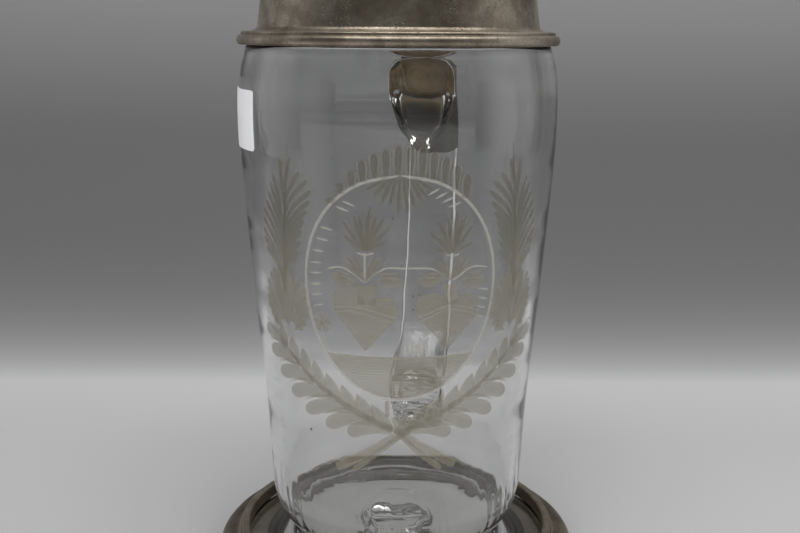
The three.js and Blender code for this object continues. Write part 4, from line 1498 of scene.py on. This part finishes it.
@dataclass
class Engraving:
    """The wheel-cut wreath: a medallion with two hearts and tulips between palms and crossed laurel branches.

    Places are measured across and up from the medallion's middle.
    """

    vessel: Vessel
    facing: float = 11.1
    centre_height: float = 111.2
    half_width: float = 30.3
    half_height: float = 35.4
    band_width: float = 1.0
    chord: float = -21.0
    chord_sag: float = 0.5
    chord_width: float = 0.6
    leaflet_count: int = 8
    leaflet_rise: float = 17.5
    leaflet_width: float = 1.9
    leaflet_lean: float = 0.28
    leaflet_lift: float = 0.8
    hatch_pitch: float = 0.92
    petal_pitch: float = 3.25
    petal_count: int = 13
    seed: int = 21

    def band(self) -> Shape:
        """Returns the oval line round the medallion, and the line along its chord."""
        points = arc((0, 0), (self.half_width, self.half_height), 91, 450, 16)
        oval = stroke([tuple(p) for p in points], self.band_width, Taper.LINE, 170)
        reach = self.half_width * math.sqrt(1 - (self.chord / self.half_height) ** 2)
        sag = self.chord - self.chord_sag
        level = [(-reach, self.chord), (-reach / 3, sag), (reach / 3, sag), (reach, self.chord)]
        return oval.plus(stroke(level, self.chord_width, Taper.LINE))

    def ground(self) -> Shape:
        """Returns the hatched ground below the chord."""
        reach = math.degrees(math.asin(-self.chord / self.half_height))
        size = (self.half_width - 0.5, self.half_height - 0.5)
        outline = arc((0, 0), size, 180 + reach, 360 - reach, 40)
        return hatched([tuple(p) for p in outline], self.hatch_pitch)

    @staticmethod
    def heart(tip: Point, half_width: float, height: float, lean: float) -> list[Point]:
        """Returns the outline of a heart.

        Args:
            tip: Its lower tip.
            half_width: Half its width.
            height: Its height over the tip.
            lean: How much lower its right lobe is.

        Returns:
            The outline's points.
        """
        side = SmoothCurve(
            [(0, 0), (0.52, 0.36), (0.97, 0.66), (0.95, 0.87), (0.6, 1), (0.25, 0.96), (0.06, 0.86)], 12
        ).spaced(22)
        points = []
        for mirror, rows in ((1, side), (-1, side[::-1])):
            for x, y in rows:
                drop = lean * y if mirror > 0 else 0
                points.append((tip[0] + mirror * x * half_width, tip[1] + y * height - drop))
        return points

    def hearts(self) -> Shape:
        """Returns the two hearts, each with a little block between its lobes and two lines across."""
        result = hatched(self.heart((-10.9, -19.4), 10.4, 20.0, 2.6), self.hatch_pitch)
        result = result.plus(hatched(self.heart((14.9, -19.3), 10.3, 18.9, 1.8), self.hatch_pitch))
        for middle, wide in ((-10.2, 5.8), (15.3, 4.6)):
            left, right = middle - wide / 2, middle + wide / 2
            block = [(left, -4.6), (right, -4.6), (right, 2.1), (left, 2.1)]
            result = result.plus(hatched(block, self.hatch_pitch))
        for points in (
            [(-21.4, -6.2), (-15.4, -5.3), (-6.8, -6.9), (-1.2, -8.6)],
            [(-21.1, -7.4), (-15.5, -6.7), (-8.6, -8.1), (-1.8, -10.2)],
            [(5.2, -8.4), (9.7, -6.7), (14.2, -5.2), (19.7, -5.6), (25.8, -7.7)],
            [(6.0, -9.9), (9.4, -8.2), (14.4, -6.4), (19.8, -6.9), (25.4, -9.4)],
        ):
            result = result.plus(stroke(points, 0.4, Taper.LINE))
        return result

    def tulips(self) -> list[tuple[Taper, list[Cut]]]:
        """Returns the straight cuts of the two tulips and of the fans of leaves at their feet."""
        left, right = (-10.4, 12.2), (15.4, 11.6)
        left_tips = ((-16.8, 21.6), (-13.4, 23.4), (-4.9, 23.4), (-3.0, 20.2))
        right_tips = ((10.8, 21.2), (8.6, 17.8), (22.0, 20.2), (18.9, 23.0))
        petals = [pointing(left, tip, 1.8) for tip in left_tips]
        petals += [pointing(left, tip, 1.6) for tip in ((-17.0, 16.9), (-4.0, 15.9))]
        petals += [pointing(left, tip, 2.3) for tip in ((-11.6, 24.0), (-7.0, 23.0))]
        petals += [pointing(left, (-9.1, 26.6), 2.5)]
        petals += [pointing(right, tip, 1.8) for tip in right_tips]
        petals += [pointing(right, tip, 1.6) for tip in ((9.4, 13.4), (21.8, 14.8))]
        petals += [pointing(right, tip, 2.3) for tip in ((13.6, 22.4), (17.6, 22.2))]
        petals += [pointing(right, (16.4, 25.0), 2.5)]
        leaves = []
        left_fan = ((-17.4, 9.2), (-16.0, 10.9), (-14.0, 11.6), (-7.4, 11.2), (-5.4, 10.9), (-3.9, 9.6))
        right_fan = ((8.6, 9.3), (10.2, 10.4), (12.4, 10.8), (18.0, 10.8), (20.0, 10.2), (21.8, 8.9))
        for foot, tips in (((-10.6, 2.8), left_fan), ((15.1, 3.0), right_fan)):
            leaves += [pointing(foot, tip, 1.4) for tip in tips]
        return [(Taper.LEAF, petals), (Taper.LEAF, leaves)]

    def stems(self) -> Shape:
        """Returns the stems, the curved branches under the tulips and the leaves that hang from them."""
        left_foot, right_foot = (-10.6, 2.6), (15.0, 2.9)
        result = stroke([(-10.4, 12), (-10.6, 7), (-10.6, 2.8)], 0.6, Taper.LINE)
        for points in (
            [(15.4, 11.5), (15.3, 7), (15.0, 3.1)],
            [(-12.8, 11.9), (-10.4, 11.2), (-8.0, 11.9)],
            [(13.0, 11.4), (15.4, 10.7), (17.6, 11.2)],
            [left_foot, (-14.7, 5.6), (-17.6, 7.0), (-22.2, 6.3)],
            [left_foot, (-7.0, 5.8), (-4.2, 7.3), (0.2, 7.3), (5.4, 7.3), (9.6, 6.9), (12.2, 5.4), right_foot],
            [right_foot, (17.8, 4.2), (20.7, 6.4), (23.4, 6.9), (27.6, 6.1)],
        ):
            result = result.plus(stroke(points, 0.55, Taper.LINE))
        for root, tip, width in (
            ((-21.4, 4.6), (-13.6, 2.6), 3.6),
            ((-19.6, 5.8), (-14.6, 4.6), 2.4),
            ((-7.0, 3.6), (0.6, 3.8), 3.6),
            ((-6.2, 5.4), (-1.0, 5.6), 2.4),
            ((12.6, 3.6), (4.8, 3.8), 3.6),
            ((11.8, 5.2), (6.4, 5.6), 2.4),
            ((18.2, 2.8), (27.4, 2.4), 3.8),
            ((19.6, 4.8), (26.0, 4.8), 2.4),
        ):
            middle = ((root[0] + tip[0]) / 2, (root[1] + tip[1]) / 2 - 0.9)
            result = result.plus(stroke([root, middle, tip], width, Taper.LEAF))
        return result

    def on_oval(self, degrees: float, margin: float = 0) -> Point:
        """Returns the point of the medallion's line at an angle from up, a margin outside it."""
        angle = math.radians(degrees)
        return ((self.half_width + margin) * math.sin(angle), (self.half_height + margin) * math.cos(angle))

    def border(self) -> list[tuple[Taper, list[Cut]]]:
        """Returns the petals over the medallion, the fan that hangs from its top, and the ticks inside it."""
        petals = []
        for i in range(self.petal_count):
            across = (i - (self.petal_count - 1) / 2) * self.petal_pitch - 0.9
            share = abs(across) / (self.half_width + 0.4)
            up = (self.half_height + 0.2) * math.sqrt(1 - share**2)
            length = 8.9 - 0.0115 * (across - 5) ** 2
            petals.append(Cut(across, up, length, 3.3, across * 0.22))
        fan = [
            pointing((across * 0.42, self.half_height - 0.9), (across, up), 1.5)
            for across, up in (
                (-9.6, 31.0), (-7.8, 29.0), (-5.7, 27.2), (-3.4, 25.8), (-1.0, 24.8),
                (1.5, 24.8), (3.8, 25.8), (5.8, 27.3), (7.5, 29.0), (9.0, 31.0),
            )
        ]
        ticks = []
        for degrees in (-36, -41, -56, -63, -70, -77, -83, -89, -95, -101):
            root = self.on_oval(degrees, -1.4)
            ticks.append(Cut(*root, 4.2, 0.7, 90 + (degrees + 75) * 0.55))
        for degrees in (22, 27, 32, 37, 92, 97, 102, 107):
            root = self.on_oval(degrees, -1.4)
            ticks.append(Cut(*root, 4.2, 0.7, -90 + (degrees - 75) * 0.55))
        return [(Taper.PETAL, petals), (Taper.PETAL, fan), (Taper.LEAF, ticks)]

    def palms(self) -> Shape:
        """Returns the two upright palms, whose long leaflets bend out from a stalk."""
        stalk = [(40.3, -6.0), (39.4, 4), (38.4, 14), (36.8, 25), (35.0, 36), (34.4, 46)]
        spine = SmoothCurve(stalk, 20)
        outer = [(47.9, 9.6), (48.9, 15.2), (47.6, 21.2), (44.8, 27.2), (41.4, 33.6)]
        inner = [(32.2, 10.4), (30.8, 17.4), (28.4, 23.8), (26.6, 31.0), (30.4, 35.2)]
        count, lean = self.leaflet_count, self.leaflet_lean
        tips = [*SmoothCurve(outer).spaced(count), *SmoothCurve(inner).spaced(count)]
        tips += [(37.6, 38.6), (33.4, 39.2)]
        result = Shape(np.zeros((0, 3)), [], {"gleam": np.zeros(0)})
        for side in (-1, 1):
            result = result.plus(stroke([(side * x, y) for x, y in stalk], 1.5, Taper.THORN))
            for tip in tips:
                low = max(-3.0, tip[1] - self.leaflet_rise)
                heights = spine.at(np.linspace(0, 1, 60))
                root = (float(np.interp(low, heights[:, 1], heights[:, 0])), low)
                across = (1 - lean) * root[0] + lean * tip[0]
                bend = (across, 0.5 * (root[1] + tip[1]) + self.leaflet_lift)
                blade = [(side * x, y) for x, y in (root, bend, tip)]
                result = result.plus(stroke(blade, self.leaflet_width, Taper.LOBE))
        return result

    def shells(self) -> list[tuple[Taper, list[Cut]]]:
        """Returns the ribs of the oval shell at the foot of each palm."""
        ribs = []
        for side in (-1, 1):
            foot = (39.7, -17.0)
            for i in range(19):
                angle = math.radians(-135 + 15 * i)
                tip = (40.1 + 10.2 * math.sin(angle), -6.6 + 10.8 * math.cos(angle))
                lift = 0.1 + 0.32 * abs(i - 9) / 9
                root = tuple(f + lift * (t - f) for f, t in zip(foot, tip))
                ribs.append(pointing((side * root[0], root[1]), (side * tip[0], tip[1]), 2.5))
        return [(Taper.LOBE, ribs)]

    def laurel(self) -> Shape:
        """Returns the two branches that cross below the medallion, with their cut ends."""
        branch = [(1, -46.1), (12.4, -41.2), (21.6, -36.6), (29.8, -31.8), (35.6, -27.4), (41.4, -22.6)]
        branch += [(48.4, -18.4)]
        spine = SmoothCurve(branch, 20)
        outer = [(18.0, -47.8), (26.2, -46.2), (34.6, -42.9), (41.2, -38.0), (47.0, -32.4), (51.9, -25.8)]
        outer += [(54.2, -19.0)]
        inner = [(9.4, -37.3), (14.2, -34.0), (19.4, -31.6), (24.8, -28.4), (29.4, -24.8), (33.8, -21.4)]
        inner += [(38.4, -18.4), (43.6, -15.6)]
        result = Shape(np.zeros((0, 3)), [], {"gleam": np.zeros(0)})
        for side in (-1, 1):
            strokes = [(branch, 3.0, Taper.THORN)]
            for i, tip in enumerate(outer):
                root = spine.at(np.array([0.03 + 0.138 * i]))[0]
                bend = (0.5 * (root[0] + tip[0]) + 0.3, 0.5 * (root[1] + tip[1]) + 1.5)
                strokes.append(([tuple(root), bend, tip], 4.9, Taper.PETAL))
                later = spine.at(np.array([min(1.0, 0.16 + 0.138 * i)]))[0]
                end = (tip[0] + 0.4, tip[1] + 3.6)
                bend = (0.5 * (later[0] + end[0]), 0.5 * (later[1] + end[1]) + 1.0)
                strokes.append(([tuple(later), bend, end], 1.1, Taper.LEAF))
            for i, tip in enumerate(inner):
                root = spine.at(np.array([0.02 + 0.118 * i]))[0]
                bend = (0.5 * (root[0] + tip[0]) + 0.7, 0.5 * (root[1] + tip[1]) - 0.4)
                strokes.append(([tuple(root), bend, tip], 4.8, Taper.LEAF))
            for points, width, taper in strokes:
                result = result.plus(stroke([(side * x, y) for x, y in points], width, taper))
        for points, width in (
            ([(3.4, -45.0), (-8, -52), (-22.6, -60.6)], 3.1),
            ([(1.6, -46.8), (-6, -52.6), (-16.2, -60.4)], 1.9),
            ([(-1.4, -45.2), (6, -50.6), (20.2, -59.0)], 3.1),
            ([(-0.6, -46.4), (5, -52), (14.8, -60.0)], 1.9),
            ([(-4, -35.6), (-4.1, -38), (-4, -41.4)], 1.5),
            ([(-1.6, -41.2), (-0.9, -44.2), (0.4, -47.4)], 2.4),
            ([(1.6, -41.0), (1.2, -44.0), (1.2, -48.2)], 2.2),
            ([(4.6, -41.6), (3.6, -44.4), (2.0, -47.2)], 2.4),
        ):
            result = result.plus(stroke(points, width, Taper.LINE))
        return result

    def small_flower(self) -> list[tuple[Taper, list[Cut]]]:
        """Returns the little flower to the left of the hearts, and the fence on the ground."""
        petals = [Cut(-25.2, -11.6, 3.1, 2.3, turn) for turn in range(-144, 145, 72)]
        fence = [Cut(1.6 + 1.32 * i, -20.6, 3.7, 0.7, 0) for i in range(6)]
        return [(Taper.LOBE, petals), (Taper.LINE, fence)]

    def build(self, material: bpy.types.Material) -> bpy.types.Object:
        """Returns the dressed engraving, laid round the body."""
        rows = CutRows()
        design = self.band()
        for part in (self.ground(), self.hearts(), self.stems(), self.palms(), self.laurel()):
            design = design.plus(part)
        groups = [*self.tulips(), *self.border(), *self.shells(), *self.small_flower()]
        for number, (taper, cuts) in enumerate(groups):
            design = design.plus(rows.row(cuts, taper, self.seed + number, material))
        design.points = self.vessel.wrapped(design.points, self.facing, self.centre_height)
        piece = design.made("engraved_wreath", 60)
        return ridden(dressed(piece, material), TANKARD, "glass")


@dataclass(frozen=True)
class BubbleFinish:
    """The bright skin of a bubble, which throws all light back."""

    name: str = "bubble_skin"
    silver: Colour = (0.9, 0.9, 0.9)

    def material(self) -> bpy.types.Material:
        """Returns the material."""
        shader = Shader(self.name)
        values = {"Base Color": (*self.silver, 1), "Metallic": 1.0, "Roughness": 0.05}
        shader.fill(shader.surface, values)
        return shader.material


@dataclass
class SeedBubbles:
    """The little bubbles caught in the wall of the body, set by Geometry Nodes on a cloud of points."""

    vessel: Vessel
    noticed: tuple[tuple[float, float, float], ...] = (
        (15.6, 109.6, 0.34), (15.6, 105.3, 0.3), (8.5, 133.7, 0.34), (-32.0, 148.0, 0.34),
        (-28.0, 61.5, 0.42), (5.0, 37.0, 0.3),
    )
    scattered: int = 34
    least: float = 0.12
    most: float = 0.26
    lowest: float = 34.0
    highest: float = 172.0
    detail: int = 2
    seed: int = 7

    def places(self) -> tuple[np.ndarray, np.ndarray]:
        """Returns the bubbles' middles in the wall, and their radii."""
        random = np.random.default_rng(self.seed)
        angles = random.uniform(-180, 180, self.scattered)
        heights = random.uniform(self.lowest, self.highest, self.scattered)
        radii = random.uniform(self.least, self.most, self.scattered)
        rows = np.concatenate([np.array(self.noticed), np.stack([angles, heights, radii], axis=-1)])
        out = self.vessel.radius(rows[:, 1]) - self.vessel.thickness(rows[:, 1]) / 2
        turn = np.radians(rows[:, 0])
        middles = np.stack([out * np.sin(turn), AXIS_Y - out * np.cos(turn), rows[:, 1]], axis=-1)
        return middles, rows[:, 2]

    def tree(self) -> tuple[bpy.types.NodeTree, dict[str, str]]:
        """Returns the tree that sets a ball on every point, and the identifiers of its named inputs."""
        tree = bpy.data.node_groups.new("seed_bubbles", "GeometryNodeTree")
        names = {}
        for name, kind in (
            ("Geometry", "NodeSocketGeometry"),
            ("Detail", "NodeSocketInt"),
            ("Material", "NodeSocketMaterial"),
        ):
            names[name] = tree.interface.new_socket(name, in_out="INPUT", socket_type=kind).identifier
        tree.interface.new_socket("Geometry", in_out="OUTPUT", socket_type="NodeSocketGeometry")
        given, result = tree.nodes.new("NodeGroupInput"), tree.nodes.new("NodeGroupOutput")
        ball = tree.nodes.new("GeometryNodeMeshIcoSphere")
        ball.inputs["Radius"].default_value = 1.0
        size = tree.nodes.new("GeometryNodeInputNamedAttribute")
        size.data_type = "FLOAT"
        size.inputs["Name"].default_value = "radius"
        placed = tree.nodes.new("GeometryNodeInstanceOnPoints")
        real = tree.nodes.new("GeometryNodeRealizeInstances")
        finished = tree.nodes.new("GeometryNodeSetMaterial")
        for start, end in (
            (given.outputs["Detail"], ball.inputs["Subdivisions"]),
            (given.outputs["Geometry"], placed.inputs["Points"]),
            (ball.outputs["Mesh"], placed.inputs["Instance"]),
            (size.outputs[0], placed.inputs["Scale"]),
            (placed.outputs[0], real.inputs["Geometry"]),
            (real.outputs[0], finished.inputs["Geometry"]),
            (given.outputs["Material"], finished.inputs["Material"]),
            (finished.outputs[0], result.inputs[0]),
        ):
            tree.links.new(start, end)
        return tree, names

    def build(self, material: bpy.types.Material) -> bpy.types.Object:
        """Returns the dressed bubbles."""
        middles, radii = self.places()
        cloud = bpy.data.meshes.new("seed_bubbles")
        cloud.from_pydata((middles * MM).tolist(), [], [])
        cloud.attributes.new("radius", "FLOAT", "POINT").data.foreach_set("value", radii * MM)
        piece = bpy.data.objects.new("seed_bubbles", cloud)
        bpy.context.scene.collection.objects.link(piece)
        modifier = piece.modifiers.new("seed_bubbles", "NODES")
        tree, names = self.tree()
        modifier.node_group = tree
        for name, value in (("Detail", self.detail), ("Material", material)):
            modifier[names[name]] = value
        apply_modifiers(piece)
        soften_shading(piece.data, 60)
        return ridden(dressed(piece, material), TANKARD, "glass")


@dataclass
class Studio:
    """The floor with its backdrop, the lamps and the camera."""

    facing: float = 10.0
    distance: float = 352.5
    camera_height: float = 188.0
    pitch: float = 12.85
    yaw: float = 0.15
    roll: float = 0.32
    lens: float = 46.8
    half_width: float = 3000.0
    front: float = -2600.0
    bend_start: float = 150.0
    bend_radius: float = 420.0
    wall_top: float = 2200.0
    near_floor: float = 0.41
    far_floor: float = 0.45
    low_wall: float = 0.10
    high_wall: float = 0.185
    coolness: float = 1.012
    paler_from: float = 90.0
    paler_to: float = 170.0
    dims_from: float = 185.0
    dimming: float = 50.0
    lighter_from: float = 440.0
    lighter_to: float = 640.0
    room: Colour = (0.09, 0.09, 0.093)
    card_glow: float = 0.62
    card_columns: int = 25

    def facing_turn(self) -> Matrix:
        """Returns the turn that brings a stage built for a camera on -Y to the camera's side."""
        return Matrix.Translation((0, AXIS_Y * MM, 0)) @ Matrix.Rotation(math.radians(self.facing), 4, "Z")

    def camera(self) -> None:
        """Makes the camera at the photograph's place."""
        pitch, yaw, roll = (math.radians(v) for v in (self.pitch, self.yaw, self.roll))
        ahead = Vector((math.sin(yaw) * math.cos(pitch), math.cos(yaw) * math.cos(pitch), -math.sin(pitch)))
        level = Vector((math.cos(yaw), -math.sin(yaw), 0))
        up = level.cross(ahead)
        right = level * math.cos(roll) + up * math.sin(roll)
        above = up * math.cos(roll) - level * math.sin(roll)
        stand = Matrix((right, above, -ahead)).transposed().to_4x4()
        stand.translation = Vector((0, -self.distance, self.camera_height)) * MM
        data = bpy.data.cameras.new("camera")
        data.lens, data.sensor_width, data.clip_start = self.lens, 36, 0.01
        camera = bpy.data.objects.new("camera", data)
        bpy.context.scene.collection.objects.link(camera)
        camera.matrix_world = self.facing_turn() @ stand
        bpy.context.scene.camera = camera

    def stage(self) -> None:
        """Makes the floor that sweeps up into the backdrop."""
        bend = arc((self.bend_start, self.bend_radius), (self.bend_radius, self.bend_radius), -90, 0, 40)
        outline = [(self.front, 0), *map(tuple, bend), (self.bend_start + self.bend_radius, self.wall_top)]
        rows = np.array([[(x, y, z) for x in (-self.half_width, self.half_width)] for y, z in outline])
        steps = np.linalg.norm(np.diff(np.array(outline), axis=0), axis=1)
        path = np.concatenate([[0], np.cumsum(steps)]) + self.front
        mesh = bpy.data.meshes.new("sweep")
        faces = [[2 * i, 2 * i + 1, 2 * i + 3, 2 * i + 2] for i in range(len(outline) - 1)]
        mesh.from_pydata((rows.reshape(-1, 3) * MM).tolist(), [], faces)
        mesh.attributes.new("path", "FLOAT", "POINT").data.foreach_set("value", np.repeat(path, 2) * MM)
        mesh.transform(self.facing_turn())
        soften_shading(mesh, 80)
        sweep = bpy.data.objects.new("sweep", mesh)
        bpy.context.scene.collection.objects.link(sweep)
        mesh.materials.append(self.sweep_material())

    def paper(self, grey: float) -> Colour:
        """Returns a grey of the paper, which is a little cool."""
        return (grey, grey, grey * self.coolness)

    def sweep_material(self) -> bpy.types.Material:
        """Returns the matt paper of the sweep: a little paler farther back on the floor, painted dim up the
        wall as painted shade and lighter again higher up as painted light, and clear from behind.
        """
        shader = Shader("sweep_paper")
        path = shader.attribute("path")
        paler = path.rising(self.paler_from * MM, self.paler_to * MM)
        floor = shader.blended(paler, self.paper(self.near_floor), self.paper(self.far_floor))
        # Painted shade dims the paper up the wall, and painted light makes it lighter again higher up.
        dim = path.fading(self.dims_from * MM, self.dimming * MM)
        wall = shader.blended(dim, self.paper(self.low_wall), floor)
        lighter = path.rising(self.lighter_from * MM, self.lighter_to * MM)
        colour = shader.blended(lighter, wall, self.paper(self.high_wall))
        shader.fill(shader.surface, {"Base Color": colour, "Roughness": 0.9, "Specular IOR Level": 0.1})
        facing = shader.node("ShaderNodeNewGeometry", {}, {})
        clear = shader.node("ShaderNodeBsdfTransparent", {}, {})
        mixed = shader.node("ShaderNodeMixShader", {}, {0: Socket(shader, facing.outputs["Backfacing"])})
        shader.tree.links.new(shader.surface.outputs[0], mixed.inputs[1])
        shader.tree.links.new(clear.outputs[0], mixed.inputs[2])
        shader.tree.links.new(mixed.outputs[0], shader.output.inputs[0])
        return shader.material

    def lamp(
        self, name: str, place: Sequence[float], aim: Sequence[float], size: Point, power: float
    ) -> bpy.types.Object:
        """Makes one soft lamp.

        Args:
            name: Its name.
            place: Where it stands, in millimetres from the vessel's foot, with the camera on -Y.
            aim: What it points at.
            size: Its width and height in millimetres.
            power: Its power in watts.

        Returns:
            The lamp.
        """
        data = bpy.data.lights.new(name, "AREA")
        data.shape, data.size, data.size_y = "RECTANGLE", size[0] * MM, size[1] * MM
        data.energy = power
        lamp = bpy.data.objects.new(name, data)
        bpy.context.scene.collection.objects.link(lamp)
        start, end = Vector(place) * MM, Vector(aim) * MM
        turn = (start - end).to_track_quat("Z", "Y").to_matrix().to_4x4()
        turn.translation = start
        lamp.matrix_world = self.facing_turn() @ turn
        return lamp

    def lamps(self) -> None:
        """Makes the overhead softbox, three front softboxes that aren't mirrored, and the dim room."""
        self.lamp("overhead_softbox", (110, -100, 1150), (0, 60, 0), (1300, 900), 12.0)
        for name, across, power in (("front_left_softbox", -950, 19.0), ("front_right_softbox", 1100, 18.0)):
            fill = self.lamp(name, (across, -1400, 900), (0, 0, 90), (1400, 1100), power)
            fill.visible_glossy = fill.visible_transmission = False
        low = self.lamp("low_front_softbox", (0, -1500, 160), (0, 0, 150), (900, 200), 3.0)
        low.visible_glossy = low.visible_transmission = False
        world = bpy.data.worlds.new("room")
        world.use_nodes = True
        world.node_tree.nodes["Background"].inputs[0].default_value = (*self.room, 1)
        bpy.context.scene.world = world
        bpy.context.scene.view_settings.view_transform = "Standard"

    def cards(self) -> None:
        """Makes two panels with soft edges, left and right, which only metal and glass show."""
        shader = Shader("glowing_card")
        glow = shader.blended(shader.attribute("glow"), (0, 0, 0), (self.card_glow,) * 3)
        plain = {"Base Color": (0, 0, 0, 1), "Specular IOR Level": 0.0, "Emission Strength": 1.0}
        shader.fill(shader.surface, {**plain, "Emission Color": glow})
        for name, across, near, far in (("left_card", -900, -330, 700), ("right_card", 900, -660, 560)):
            places = np.linspace(near, far, self.card_columns)
            share = (places - near) / (far - near)
            bright = smoothstep(share, 0, 0.4) * (1 - smoothstep(share, 0.6, 1))
            points = np.array([(across, y, z) for y in places for z in (0, 1000)])
            faces = [[2 * i, 2 * i + 1, 2 * i + 3, 2 * i + 2] for i in range(len(places) - 1)]
            mesh = bpy.data.meshes.new(name)
            mesh.from_pydata((points * MM).tolist(), [], faces)
            mesh.attributes.new("glow", "FLOAT", "POINT").data.foreach_set("value", np.repeat(bright, 2))
            mesh.transform(self.facing_turn())
            mesh.materials.append(shader.material)
            card = bpy.data.objects.new(name, mesh)
            bpy.context.scene.collection.objects.link(card)
            card.visible_camera = card.visible_diffuse = card.visible_shadow = False

    def build(self) -> None:
        """Makes the whole studio."""
        self.camera()
        self.stage()
        self.lamps()
        self.cards()


def main() -> None:
    """Builds and dresses every piece, in order."""
    logging.basicConfig(level=logging.INFO, format="%(name)s %(message)s")
    studio = Studio()
    studio.build()
    pewter = PewterFinish().material()
    steel = SteelFinish().material()
    vessel = Vessel()
    handle = StrapHandle(vessel)
    glass = fused_glass(vessel, handle, GlassFinish().material())
    ridden(glass, TANKARD, "glass", "glass_body", "glass_foot", "glass_handle")
    FootRing().build(pewter)
    Lid().build(pewter)
    ThumbPiece().build(pewter)
    HingeMounts().build(pewter, steel)
    StrapBedding(handle).build(CementFinish().material())
    PaperLabel(vessel).build(PaperFinish().material())
    Engraving(vessel).build(FrostFinish().material())
    SeedBubbles(vessel).build(BubbleFinish().material())


if __name__ == "__main__":
    main()
